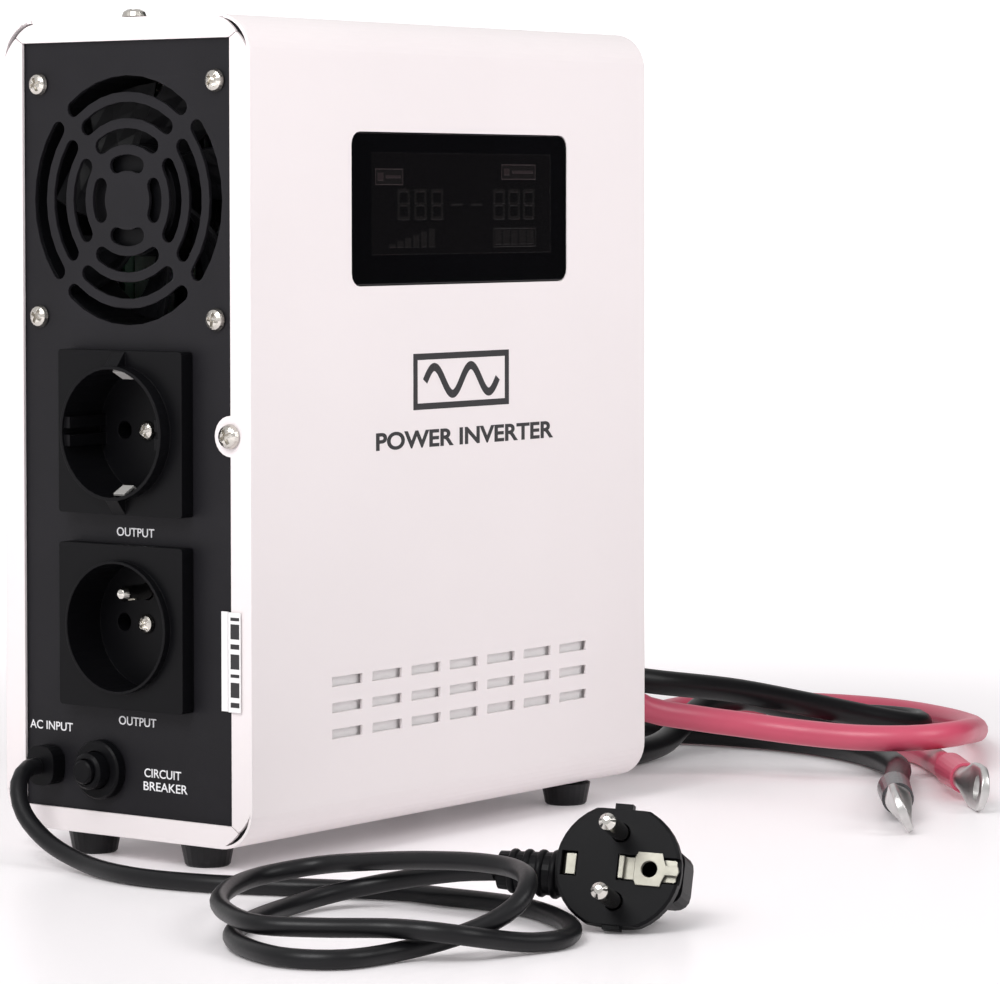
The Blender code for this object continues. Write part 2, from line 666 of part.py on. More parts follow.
def make_screws(nickel):
    fan_mesh = pan_screw_mesh("fan_screw", 0.0035, 0.0022, 0.0015, 0.016)
    cover_mesh = pan_screw_mesh("cover_screw", 0.0038, 0.0024, 0.0015, 0.007)
    number = 0
    for z in (1, -1):
        for y in (1, -1):
            number += 1
            place = (PANEL_FACE - CLEARANCE, y * FAN_HOLE_PITCH / 2, FAN_Z + z * FAN_HOLE_PITCH / 2)
            place_screw(f"fan_screw_{number}", fan_mesh, place, (-1, 0, 0), nickel, 20.0 * number)
    tab_y = SIDE - SIDE_FLANGE
    places = {
        "cover_screw_socket_tab": ((SOCKET_END - CLEARANCE, -tab_y, TAB_Z), (-1, 0, 0)),
        "cover_screw_cable_tab": ((CABLE_END + CLEARANCE, -tab_y, TAB_Z), (1, 0, 0)),
        "cover_screw_plain_tab": ((CABLE_END + CLEARANCE, tab_y, TAB_Z), (1, 0, 0)),
        "cover_screw_socket_top": ((SOCKET_END + SCREW_INSET, 0.0, TOP + CLEARANCE), (0, 0, 1)),
        "cover_screw_cable_top": ((CABLE_END - SCREW_INSET, 0.0, TOP + CLEARANCE), (0, 0, 1)),
    }
    for number, (name, (place, outward)) in enumerate(places.items()):
        place_screw(name, cover_mesh, place, outward, nickel, 25.0 + 30.0 * number)


# ---------------------------------------------------------------- fan


def make_fan(black):
    middle = FAN_FRONT + FAN_THICK / 2
    outline = rounded((0.0, FAN_Z), FAN_SIZE, FAN_SIZE, 0.003, 3)
    holes = [arc((0.0, FAN_Z), FAN_BORE, 3.75, 363.75, 48)[:-1]]
    for y in (-1, 1):
        for z in (-1, 1):
            centre = (y * FAN_HOLE_PITCH / 2, FAN_Z + z * FAN_HOLE_PITCH / 2)
            holes.append(circle(centre, FAN_HOLE_RADIUS, 12))
    frame = plate("fan_frame", [outline] + holes, "YZ", middle, FAN_THICK)
    back = FAN_FRONT + FAN_THICK - FLUSH
    long, wide, deep = FAN_BORE + 0.0012, 0.002, 0.0025
    flat = box("fan_strut_y", (back - deep, -long, FAN_Z - wide), (back, long, FAN_Z + wide))
    upright = box("fan_strut_z", (back - deep, -wide, FAN_Z - long), (back, wide, FAN_Z + long))
    mount = rod("fan_mount", (back - 0.003, 0, FAN_Z), (back - 0.0001, 0, FAN_Z), 0.0165, segments=32)
    join(frame, flat, upright, mount)
    finish(frame, black)

    hub_front = FAN_FRONT + 0.0015
    hub_back = back - 0.0040
    hub = rod("fan_rotor", (hub_front, 0, FAN_Z), (hub_back, 0, FAN_Z), HUB_RADIUS, segments=35)
    blades = []
    for blade in range(BLADES):
        bm = bmesh.new()
        rows = []
        for step in range(4):
            radius = HUB_RADIUS - 0.001 + (BLADE_TIP - HUB_RADIUS + 0.001) * step / 3
            lean = math.radians(38.0 - 5.0 * step)
            row = []
            for along in (-0.5, -0.17, 0.17, 0.5):
                chord = 0.0155 + 0.0026 * step
                swing = (along * chord * math.cos(lean)) / radius + math.tau * blade / BLADES + 0.10 * step
                bulge = 0.0012 * (1 - 4 * along * along)
                x = (hub_front + hub_back) / 2 + along * chord * math.sin(lean) + bulge
                row.append(bm.verts.new((x, radius * math.cos(swing), FAN_Z + radius * math.sin(swing))))
            rows.append(row)
        for inner, outer in zip(rows, rows[1:]):
            for i in range(3):
                bm.faces.new((inner[i], inner[i + 1], outer[i + 1], outer[i]))
        sheet = mesh_object(f"blade_{blade}", bm)
        solidify = sheet.modifiers.new("thickness", "SOLIDIFY")
        solidify.thickness = 0.0012
        solidify.offset = 0.0
        bpy.context.view_layer.update()
        blades.append(solid_copy(sheet, f"blade_{blade}_solid"))
        bpy.data.objects.remove(sheet)
    join(hub, many("blades", blades))
    finish(hub, black)


# ---------------------------------------------------------------- outlets


def make_outlet(name, z, collar, collar_radius, depth, black):
    """Outlet body: square plate, round collar and closed barrel with the recess and two contact holes."""
    seat = PANEL_FACE - CLEARANCE
    plate_face = seat - OUTLET_PROUD
    rim = plate_face - collar
    floor = rim + depth
    back = floor + 0.014
    body = plate(
        name,
        [
            rounded((OUTLET_Y, z), OUTLET_PLATE, OUTLET_PLATE, 0.001, 2),
            circle((OUTLET_Y, z), OUTLET_RECESS + 0.0004, 36),
        ],
        "YZ", seat - OUTLET_PROUD / 2, OUTLET_PROUD,
    )
    length = back - rim
    cup = turned(
        name + "_cup",
        (
            (0.0, length), (OUTLET_BARREL - 0.002, length), (OUTLET_BARREL, length - 0.002),
            (OUTLET_BARREL, 0.001 + collar), (collar_radius, 0.001 + collar), (collar_radius, 0.0),
            (OUTLET_RECESS, 0.0), (OUTLET_RECESS, depth), (0.0, depth),
        ),
        (rim, OUTLET_Y, z),
        (1, 0, 0),
        steps=40,
    )
    contacts = [
        rod(f"{name}_contact_{n}", (floor - 0.001, y, z), (floor + 0.011, y, z), 0.0028, segments=16)
        for n, y in enumerate((OUTLET_Y - CONTACT_PITCH / 2, OUTLET_Y + CONTACT_PITCH / 2))
    ]
    screw_hole = rod(
        name + "_screw_hole", (floor - 0.001, OUTLET_Y, z), (floor + 0.010, OUTLET_Y, z), 0.0018, segments=16
    )
    join(body, cup)
    cut(body, many(name + "_holes", contacts + [screw_hole]))
    return body, plate_face, rim, floor, back


def make_outlets(black, nickel):
    screw_mesh = pan_screw_mesh("outlet_screw", 0.0030, 0.0016, 0.0015, 0.009)
    z = UPPER_OUTLET_Z
    upper, plate_face, rim, floor, back = make_outlet("upper_outlet", z, UPPER_COLLAR, 0.0205, UPPER_DEPTH, black)
    ramps = []
    for number, level in enumerate((1, -1)):
        foot, head = z + level * (OUTLET_PLATE / 2 - 0.0003), z + level * 0.0200
        under, proud = plate_face + 0.0005, plate_face - 0.0002
        outline = [(under, foot), (proud, foot), (rim + 0.0003, head), (under, head)]
        ramps.append(plate(f"upper_ramp_{number}", [outline], "XZ", OUTLET_Y, 0.005))
    keys = []
    for number, side in enumerate((1, -1)):
        ends = sorted((OUTLET_Y + side * 0.0172, OUTLET_Y + side * 0.0200))
        for part, low in enumerate((-0.0045, 0.0010)):
            keys.append(
                box(f"upper_key_{number}_{part}", (rim + 0.001, ends[0], z + low),
                    (floor + 0.0005, ends[1], z + low + 0.0035))
            )
    slots = many(
        "upper_clip_slots",
        [
            box(
                f"clip_slot_{n}",
                (rim + 0.0030, OUTLET_Y - 0.0028, min(z + a, z + b)),
                (back + 0.001, OUTLET_Y + 0.0028, max(z + a, z + b)),
            )
            for n, (a, b) in enumerate(((0.0183, 0.0202), (-0.0183, -0.0202)))
        ],
    )
    join(upper, many("upper_ramps", ramps), many("upper_keys", keys))
    cut(upper, slots)
    finish(upper, black)

    middle = 0.0194
    bend = [
        (rim + 0.0042, 0.0188), (rim + 0.0085, 0.0166), (rim + 0.0125, middle), (back + 0.0012, middle),
    ]
    upper_half = [(x, z + up) for x, up in bend]
    lower_half = [(x, z - up) for x, up in reversed(bend)]
    line = upper_half + lower_half
    strap = plate("upper_earth_strap", [thick_line(line, 0.0008)], "XZ", OUTLET_Y, 0.0044)
    finish(strap, nickel)
    place_screw("upper_outlet_screw", screw_mesh, (floor - CLEARANCE, OUTLET_Y, z), (-1, 0, 0), nickel, 15.0)

    z = LOWER_OUTLET_Z
    lower, plate_face, rim, floor, back = make_outlet("lower_outlet", z, LOWER_COLLAR, 0.0203, LOWER_DEPTH, black)
    pin_z = z + 0.010
    pin_hole = rod(
        "earth_pin_hole", (floor - 0.001, OUTLET_Y, pin_z), (floor + 0.010, OUTLET_Y, pin_z), 0.0027, segments=20
    )
    cut(lower, pin_hole)
    finish(lower, black)
    pin = turned(
        "lower_earth_pin",
        ((0.0, 0.0215), (0.0014, 0.0212), (0.0024, 0.0196), (0.0024, 0.0), (0.0, 0.0)),
        (floor + 0.0090, OUTLET_Y, pin_z),
        (-1, 0, 0),
        steps=20,
    )
    finish(pin, nickel)
    place_screw("lower_outlet_screw", screw_mesh, (floor - CLEARANCE, OUTLET_Y, z), (-1, 0, 0), nickel, 40.0)


def thick_line(points, width):
    """The outline of a strip of the given width along a polyline."""
    left, right = [], []
    for index, point in enumerate(points):
        here = Vector(point)
        before = Vector(points[max(index - 1, 0)])
        after = Vector(points[min(index + 1, len(points) - 1)])
        first = (here - before).normalized() if index else (after - here).normalized()
        last = (after - here).normalized() if index < len(points) - 1 else first
        along = (first + last).normalized()
        across = Vector((-along.y, along.x))
        reach = width / 2 / max(0.5, across.dot(Vector((-first.y, first.x))))
        left.append(tuple(here + across * reach))
        right.append(tuple(here - across * reach))
    return left + right[::-1]


# ---------------------------------------------------------------- breaker and strain relief


def make_breaker(black):
    seat = PANEL_BACK + CLEARANCE
    body = box("breaker_body", (seat, BREAKER_Y - 0.008, 0.0135), (seat + 0.030, BREAKER_Y + 0.008, 0.0395))
    front = PANEL_FACE - NECK_PROUD
    length = seat + 0.001 - front
    bore = BUTTON_RADIUS + BUTTON_CLEARANCE
    neck = turned(
        "breaker_neck",
        (
            (0.0, length), (NECK_RADIUS, length), (NECK_RADIUS, 0.0008), (NECK_RADIUS - 0.0008, 0.0),
            (bore, 0.0), (bore, 0.0085), (0.0, 0.0085),
        ),
        (front, BREAKER_Y, BREAKER_Z),
        (1, 0, 0),
        steps=32,
    )
    join(body, neck)
    finish(body, black)

    hole = NECK_RADIUS + CLEARANCE
    ring = turned(
        "breaker_ring",
        (
            (RING_RADIUS, RING_THICK), (RING_RADIUS, 0.0006), (RING_RADIUS - 0.0006, 0.0),
            (hole, 0.0), (hole, RING_THICK),
        ),
        (PANEL_FACE - CLEARANCE - RING_THICK, BREAKER_Y, BREAKER_Z),
        (1, 0, 0),
        steps=40,
        closed=True,
    )
    finish(ring, black)

    length = BUTTON_PROUD - NECK_PROUD + 0.0055
    button = turned(
        "reset_button",
        (
            (0.0, length), (BUTTON_RADIUS, length), (BUTTON_RADIUS, 0.0006), (BUTTON_RADIUS - 0.0006, 0.0),
            (0.0, 0.0),
        ),
        (PANEL_FACE - BUTTON_PROUD, BREAKER_Y, BREAKER_Z),
        (1, 0, 0),
        steps=24,
    )
    finish(button, black)


def make_strain_relief(black):
    back = PANEL_FACE - CLEARANCE
    front = back - 0.0052
    head = plate(
        "mains_strain_relief", [rounded((RELIEF_Y, RELIEF_Z), 0.011, 0.0122, 0.0042)], "YZ", (front + back) / 2, 0.0052
    )
    barrel = rod(
        "relief_barrel", (back - 0.001, RELIEF_Y, RELIEF_Z), (back + 0.016, RELIEF_Y, RELIEF_Z), 0.0050, 0.0040,
        segments=20,
    )
    join(head, barrel)
    finish(head, black)


# ---------------------------------------------------------------- leads


def smooth_route(points, spacing):
    """Evenly spaced points on a Catmull-Rom curve through the route's points."""
    knots = [Vector(p) for p in points]
    knots = [2 * knots[0] - knots[1]] + knots + [2 * knots[-1] - knots[-2]]
    times = [0.0]
    for first, second in zip(knots, knots[1:]):
        times.append(times[-1] + math.sqrt((second - first).length))
    fine = []
    for i in range(1, len(knots) - 2):
        t0, t1, t2, t3 = times[i - 1:i + 3]
        p0, p1, p2, p3 = knots[i - 1:i + 3]
        for step in range(16):
            t = t1 + (t2 - t1) * step / 16
            a1 = p0.lerp(p1, (t - t0) / (t1 - t0))
            a2 = p1.lerp(p2, (t - t1) / (t2 - t1))
            a3 = p2.lerp(p3, (t - t2) / (t3 - t2))
            b1 = a1.lerp(a2, (t - t0) / (t2 - t0))
            b2 = a2.lerp(a3, (t - t1) / (t3 - t1))
            fine.append(b1.lerp(b2, (t - t1) / (t2 - t1)))
    fine.append(knots[-2])
    lengths = [0.0]
    for first, second in zip(fine, fine[1:]):
        lengths.append(lengths[-1] + (second - first).length)
    count = max(2, round(lengths[-1] / spacing))
    even, index = [], 0
    for step in range(count + 1):
        target = lengths[-1] * step / count
        while index < len(fine) - 2 and lengths[index + 1] < target:
            index += 1
        share = (target - lengths[index]) / (lengths[index + 1] - lengths[index])
        even.append(fine[index].lerp(fine[index + 1], share))
    return even


def lead(name, route, diameter, look):
    points = smooth_route(route, 2.4 * diameter)
    curve = bpy.data.curves.new(name, "CURVE")
    curve.dimensions = "3D"
    curve.bevel_depth = diameter / 2
    curve.bevel_resolution = 2
    curve.use_fill_caps = True
    spline = curve.splines.new("POLY")
    spline.points.add(len(points) - 1)
    for point, place in zip(spline.points, points):
        point.co = (*place, 1.0)
    obj = bpy.data.objects.new(name, curve)
    PARTS.objects.link(obj)
    curve.materials.append(look)
    return obj


def make_plug(black, nickel):
    """The plug in its own frame: its face on z = 0, its pins along +z and its boot along -x."""
    frame = bpy.data.objects.new("plug_frame", None)
    PARTS.objects.link(frame)
    turn, tilt = math.radians(PLUG_TURN), math.radians(PLUG_TILT)
    ahead = Vector((math.cos(turn) * math.cos(tilt), math.sin(turn) * math.cos(tilt), math.sin(tilt)))
    across = Vector((-math.sin(turn), math.cos(turn), 0.0))
    rise = ahead.cross(across)
    basis = Matrix((across, rise, ahead)).transposed() @ Matrix.Rotation(math.radians(PLUG_ROLL), 3, "Z")
    frame.matrix_world = Matrix.Translation(PLUG_PLACE) @ basis.to_4x4()

    body = turned(
        "plug_body",
        (
            (0.0, 0.0), (PLUG_RADIUS - 0.0007, 0.0), (PLUG_RADIUS, -0.0007), (PLUG_RADIUS, -0.0040),
            (0.0090, -0.0270), (0.0078, -0.0285), (0.0, -0.0285),
        ),
        (0, 0, 0),
        steps=40,
    )
    flats = many(
        "plug_flats",
        [
            box(f"flat_{n}", (-0.02, min(a, b), -0.0315), (0.02, max(a, b), 0.002))
            for n, (a, b) in enumerate(((PLUG_FLAT, 0.022), (-PLUG_FLAT, -0.022)))
        ],
    )
    boot = rod(
        "plug_boot", (-0.0080, -BOOT_DROP, BOOT_DEPTH), (-BOOT_REACH, -BOOT_DROP, BOOT_DEPTH), 0.0068, 0.0054, segments=24
    )
    grip = plate("plug_grip", [rounded((0.0085, 0.0), 0.0170, 0.0155, 0.004)], "XY", -0.0150, 0.0120)
    lugs = many(
        "plug_lugs",
        [
            box(f"lug_{n}", (-0.0025, min(a, b), -0.0038), (0.0025, max(a, b), -0.0004))
            for n, (a, b) in enumerate(((PLUG_FLAT - 0.001, PLUG_FLAT + 0.0016), (-PLUG_FLAT + 0.001, -PLUG_FLAT - 0.0013)))
        ],
    )
    pin_holes = many(
        "plug_pin_holes",
        [
            rod(f"pin_hole_{n}", (0, y, -0.0120), (0, y, 0.001), PIN_RADIUS + CLEARANCE, segments=20)
            for n, y in enumerate((-CONTACT_PITCH / 2, CONTACT_PITCH / 2))
        ],
    )
    clip_seats = many(
        "plug_clip_seats",
        [
            box("clip_seat_left", (-0.0160, -0.0034, -0.0060), (-0.0115, 0.0034, 0.001)),
            box("clip_seat_right", (0.0000, -0.0036, -0.0020), (0.0182, 0.0036, 0.001)),
        ],
    )
    earth_hole = rod("plug_earth_hole", (0.0092, 0, -0.0130), (0.0092, 0, 0.001), 0.0026, segments=20)
    shapes = [body, flats, boot, grip, lugs, pin_holes, clip_seats, earth_hole]
    join(body, boot, grip)
    cut(body, flats)
    join(body, lugs)
    cut(body, pin_holes, clip_seats, earth_hole)
    finish(body, black)
    for number, y in enumerate((CONTACT_PITCH / 2, -CONTACT_PITCH / 2)):
        pin = turned(
            f"plug_pin_{number + 1}",
            (
                (0.0, PIN_LENGTH), (0.0012, PIN_LENGTH - 0.0002), (PIN_RADIUS, PIN_LENGTH - 0.0016),
                (PIN_RADIUS, -0.0110), (0.0, -0.0110),
            ),
            (0, y, 0),
            steps=20,
        )
        shapes.append(finish(pin, nickel))
    left = plate(
        "plug_earth_clip_1",
        [thick_line([(-0.0120, -0.0012), (-0.0146, -0.0012), (-0.0154, -0.0020), (-0.0154, -0.0054)], 0.0007)],
        "XZ", 0.0, 0.0058,
    )
    right = plate(
        "plug_earth_clip_2",
        [rounded((0.0087, 0.0), 0.0160, 0.0062, 0.0006, 2), circle((0.0092, 0.0), 0.0024, 20)],
        "XY", -0.0013, 0.0007,
    )
    shapes += [finish(left, nickel), finish(right, nickel)]
    for shape in shapes:
        shape.parent = frame


def battery_end(colour, end, sleeve_look, tin):
    """A sleeve and a tubular lug whose palm stands on its edge. Local +x points to the lug's tip."""
    place, heading, lean = end
    frame = bpy.data.objects.new(f"battery_end_{colour}", None)
    PARTS.objects.link(frame)
    frame.location = place
    frame.rotation_euler = (math.radians(lean), 0.0, math.radians(heading))
    sleeve = rod(f"battery_sleeve_{colour}", (0, 0, 0), (SLEEVE_LENGTH, 0, 0), SLEEVE_RADIUS, 0.0052, segments=24)
    finish(sleeve, sleeve_look)
    start = SLEEVE_LENGTH + CLEARANCE
    palm_start = start + LUG_NECK
    tip = palm_start + PALM_LENGTH
    half = PALM_WIDTH / 2
    lug = rod(f"battery_lug_{colour}", (start, 0, 0), (palm_start + 0.001, 0, 0), LUG_BARREL, segments=20)
    outline = [(palm_start - 0.001, -LUG_BARREL), (palm_start + 0.006, -half)]
    outline += arc((tip - half, 0.0), half, -90.0, 90.0, 12)
    outline += [(palm_start + 0.006, half), (palm_start - 0.001, LUG_BARREL)]
    palm = plate(
        f"palm_{colour}", [outline, circle((tip - half, 0.0), PALM_HOLE, 20)], "XZ", 0.0, PALM_SHEET
    )
    join(lug, palm)
    finish(lug, tin)
    for shape in (sleeve, lug, palm):
        shape.parent = frame


def make_glands(black, red):
    profile = (
        (0.0, GLAND_FACE), (0.0055, GLAND_FACE), (0.0076, CABLE_FACE + 0.0033), (0.0090, CABLE_FACE + 0.0033),
        (0.0090, CABLE_FACE + CLEARANCE), (0.0059, CABLE_FACE + CLEARANCE), (0.0052, CABLE_FACE - 0.0100),
        (0.0, CABLE_FACE - 0.0100),
    )
    for name, y, look in (("battery_gland_black", GLAND_Y, black), ("battery_gland_red", -GLAND_Y, red)):
        finish(turned(name, profile, (0.0, y, GLAND_Z), (1, 0, 0)), look)


# ---------------------------------------------------------------- display, power switch and inner pieces


def make_display(gloss, dark, green):
    front = -SIDE + 0.0002
    pane = plate(
        "display_window",
        [rounded((WINDOW_X, WINDOW_Z), WINDOW_SIZE[0] - 0.0006, WINDOW_SIZE[1] - 0.0006, WINDOW_CORNER - 0.0003)],
        "XZ", front + 0.0008, 0.0016,
    )
    border = plate(
        "window_border", [rounded((WINDOW_X, WINDOW_Z), 0.116, 0.053, 0.004)], "XZ",
        -SIDE + COVER_SHEET + CLEARANCE + 0.0007, 0.0014,
    )
    join(pane, border)
    finish(pane, gloss)
    back = -SIDE + COVER_SHEET + 2 * CLEARANCE + 0.0014
    low_x, low_z = WINDOW_X - 0.049, WINDOW_Z - 0.018
    finish(box("lcd_module", (low_x, back, low_z), (low_x + 0.098, back + 0.005, low_z + 0.036)), dark)
    board = back + 0.005 + CLEARANCE
    low_x, low_z = WINDOW_X - 0.056, WINDOW_Z - 0.026
    finish(box("display_board", (low_x, board, low_z), (low_x + 0.112, board + BOARD_SHEET, low_z + 0.052)), green)


def make_power_switch(black, red):
    face = CABLE_FACE + CLEARANCE
    pivot_x = face + 0.0005
    bezel = box(
        "power_switch_body",
        (face, SWITCH_Y - SWITCH_HALF[0], SWITCH_Z - SWITCH_HALF[1]),
        (face + 0.0020, SWITCH_Y + SWITCH_HALF[0], SWITCH_Z + SWITCH_HALF[1]),
    )
    body = box("switch_box", (face - 0.0160, SWITCH_Y - 0.0067, SWITCH_Z - 0.0097),
               (face + 0.0010, SWITCH_Y + 0.0067, SWITCH_Z + 0.0097))
    pocket = rod(
        "switch_pocket", (pivot_x, SWITCH_Y - 0.0059, SWITCH_Z), (pivot_x, SWITCH_Y + 0.0059, SWITCH_Z), 0.0089,
        segments=40,
    )
    join(bezel, body)
    cut(bezel, pocket)
    finish(bezel, black)

    outline = arc((0.0, 0.0), ROCKER_RADIUS, 100.0, 260.0, 16) + [(0.0041, -0.0066), (0.0016, 0.0), (0.0041, 0.0066)]
    rocker = plate("power_switch_rocker", [outline], "XZ", 0.0, 2 * ROCKER_HALF_WIDTH)
    rocker.location = (pivot_x, SWITCH_Y, SWITCH_Z)
    rocker.rotation_euler = (0.0, math.radians(-10.0), 0.0)
    rocker.data.transform(PLANES["XZ"].to_4x4())
    finish(rocker, red)


def make_transformer(wound, nickel):
    outer, inner, thick = TOROID_RADIUS, TOROID_HOLE, TOROID_THICK
    round_out, round_in = 0.012, 0.006
    profile = []
    for across, up, radius, turn in (
        (outer - round_out, thick - round_out, round_out, 90.0), (outer - round_out, round_out, round_out, 0.0),
        (inner + round_in, round_in, round_in, -90.0), (inner + round_in, thick - round_in, round_in, -180.0),
    ):
        profile += arc((across, up), radius, turn, turn - 90.0, 4)
    low = -0.0015
    transformer = turned("transformer", profile, (TOROID_X, low, TOROID_Z), (0, 1, 0), steps=40, closed=True)
    finish(transformer, wound)
    washer = turned(
        "transformer_washer",
        ((0.0230, 0.0015), (0.0230, 0.0), (0.0040, 0.0), (0.0035, 0.0008), (0.0035, 0.0015)),
        (TOROID_X, low - CLEARANCE - 0.0015, TOROID_Z), (0, 1, 0), steps=32, closed=True,
    )
    finish(washer, nickel)
    head = low - 2 * CLEARANCE - 0.0015
    bolt = turned(
        "transformer_bolt",
        ((0.0, 0.0450), (0.0028, 0.0450), (0.0030, 0.0445), (0.0030, 0.0040), (0.0058, 0.0040), (0.0058, 0.0),
         (0.0, 0.0)),
        (TOROID_X, head - 0.0040, TOROID_Z), (0, 1, 0), steps=24,
    )
    finish(bolt, nickel)


def make_main_board(green, aluminium, dark, blue):
    face = 0.0408
    finish(box("main_board", (-0.055, face - BOARD_SHEET, 0.140), (0.096, face, 0.236)), green)
    seat = face - BOARD_SHEET - CLEARANCE
    fins, pitch, fin, root, reach = 7, 0.0066, 0.0018, 0.004, 0.024
    for number, x in enumerate((-0.030, 0.026)):
        start = x - (fins - 1) * pitch / 2
        outline = [(start - fin / 2, seat), (start - fin / 2, seat - reach)]
        for index in range(fins):
            left, right = start + index * pitch - fin / 2, start + index * pitch + fin / 2
            if index:
                outline += [(left, seat - root), (left, seat - reach)]
            outline += [(right, seat - reach)]
            if index < fins - 1:
                outline += [(right, seat - root)]
        outline.append((start + (fins - 1) * pitch + fin / 2, seat))
        finish(plate(f"heat_sink_{number + 1}", [outline], "XY", 0.188, 0.072), aluminium)
    for number, z in enumerate((0.158, 0.184)):
        finish(rod(f"capacitor_{number + 1}", (0.072, seat, z), (0.072, seat - 0.030, z), 0.0105, segments=24), blue)
    finish(box("transfer_relay", (0.058, seat - 0.018, 0.206), (0.086, seat, 0.228)), dark)


def make_sticker(paper):
    """The seal sticker, bent over the step from the flange down to the end panel."""
    flange_face = SOCKET_END - CLEARANCE
    edge = SIDE_FLANGE - SIDE
    line = [
        (flange_face - 0.0002, edge - 0.0042), (flange_face - 0.0002, edge + 0.0004),
        (PANEL_FACE - CLEARANCE - 0.0002, edge + 0.0020), (PANEL_FACE - CLEARANCE - 0.0002, edge + 0.0044),
    ]
    sticker = plate("seal_sticker", [thick_line(line, 0.0003)], "XY", TOP - 0.1935, 0.030)
    finish(sticker, paper)


# ---------------------------------------------------------------- assembly


def main():
    white = material("white_powder_coat", (0.86, 0.84, 0.82), 0.45)
    satin = material("black_satin_paint", (0.030, 0.030, 0.034), 0.42)
    matte = material("black_plastic", (0.022, 0.022, 0.024), 0.50)
    gloss = material("black_gloss_window", (0.008, 0.008, 0.010), 0.08)
    rubber = material("black_rubber", (0.018, 0.018, 0.018), 0.75)
    red = material("red_jacket", (0.55, 0.045, 0.075), 0.45)
    nickel = material("nickel_plate", (0.72, 0.70, 0.67), 0.25, 1.0)
    tin = material("tin_plate", (0.75, 0.74, 0.71), 0.35, 1.0)
    aluminium = material("aluminium", (0.70, 0.71, 0.72), 0.40, 1.0)
    green = material("circuit_board", (0.020, 0.130, 0.055), 0.45)
    wound = material("winding_tape", (0.75, 0.62, 0.25), 0.50)
    dark = material("dark_plastic", (0.05, 0.05, 0.055), 0.45)
    blue = material("capacitor_sleeve", (0.03, 0.05, 0.14), 0.40)
    paper = material("sticker", (0.85, 0.85, 0.85), 0.50)

    make_covers(white)
    make_end_panels(satin)
    make_chassis(white)
    make_feet(rubber)
    make_screws(nickel)
    make_fan(matte)
    make_outlets(matte, nickel)
    make_breaker(matte)
    make_strain_relief(matte)
    lead("mains_lead", MAINS_ROUTE, MAINS_DIAMETER, rubber)
    make_plug(matte, nickel)
    make_glands(matte, red)
    lead("battery_lead_black", BLACK_ROUTE, BATTERY_DIAMETER, rubber)
    lead("battery_lead_red", RED_ROUTE, BATTERY_DIAMETER, red)
    battery_end("black", BLACK_END, matte, tin)
    battery_end("red", RED_END, red, tin)
    make_display(gloss, dark, green)
    make_power_switch(matte, red)
    make_transformer(wound, nickel)
    make_main_board(green, aluminium, dark, blue)
    make_sticker(paper)


main()
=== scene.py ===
"""Studio scene of a tower power inverter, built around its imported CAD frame. Metres, +Z up."""

import json
import math

import bmesh
import bpy
from mathutils import Matrix, Quaternion, Vector

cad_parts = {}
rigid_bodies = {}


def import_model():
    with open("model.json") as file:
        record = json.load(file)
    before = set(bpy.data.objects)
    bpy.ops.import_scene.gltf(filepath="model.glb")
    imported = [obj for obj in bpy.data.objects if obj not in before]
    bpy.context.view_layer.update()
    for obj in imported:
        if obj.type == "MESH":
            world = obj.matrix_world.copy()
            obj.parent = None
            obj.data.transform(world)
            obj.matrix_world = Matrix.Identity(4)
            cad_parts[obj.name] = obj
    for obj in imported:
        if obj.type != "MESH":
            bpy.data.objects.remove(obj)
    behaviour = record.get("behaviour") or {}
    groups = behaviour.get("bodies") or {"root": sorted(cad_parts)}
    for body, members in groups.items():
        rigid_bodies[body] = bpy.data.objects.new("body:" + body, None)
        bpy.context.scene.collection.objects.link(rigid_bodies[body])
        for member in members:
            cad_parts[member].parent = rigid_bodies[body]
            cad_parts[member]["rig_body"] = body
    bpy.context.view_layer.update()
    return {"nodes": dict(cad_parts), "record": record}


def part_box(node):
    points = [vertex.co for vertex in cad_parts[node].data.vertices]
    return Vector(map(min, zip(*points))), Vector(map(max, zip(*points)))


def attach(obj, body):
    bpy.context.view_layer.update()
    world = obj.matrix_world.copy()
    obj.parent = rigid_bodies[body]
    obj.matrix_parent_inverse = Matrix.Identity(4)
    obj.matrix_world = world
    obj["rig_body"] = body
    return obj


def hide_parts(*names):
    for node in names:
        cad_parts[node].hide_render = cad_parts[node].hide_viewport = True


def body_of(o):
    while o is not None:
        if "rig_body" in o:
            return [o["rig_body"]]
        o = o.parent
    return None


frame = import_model()
NODES = frame["nodes"]

# The case, as in the CAD.
SOCKET_END = -0.099
TOP = 0.2575
SIDE = 0.050
PANEL_FACE = -0.0977

# ---------------------------------------------------------------- camera

YAW = math.radians(36.726)
PITCH = math.radians(2.0)
ROLL = math.radians(0.074)
camera_data = bpy.data.cameras.new("camera")
camera_data.sensor_fit = "HORIZONTAL"
camera_data.sensor_width = 36.0
camera_data.lens = 150.36
camera_data.shift_y = -0.144
camera_data.clip_start = 0.05
camera_data.clip_end = 50.0
camera = bpy.data.objects.new("camera", camera_data)
bpy.context.scene.collection.objects.link(camera)
camera.location = (-1.0479, -0.8503, 0.2013)
forward = Vector((math.cos(YAW) * math.cos(PITCH), math.sin(YAW) * math.cos(PITCH), -math.sin(PITCH)))
camera.rotation_mode = "QUATERNION"
camera.rotation_quaternion = forward.to_track_quat("-Z", "Y") @ Quaternion((0, 0, 1), -ROLL)
bpy.context.scene.camera = camera

# ---------------------------------------------------------------- materials


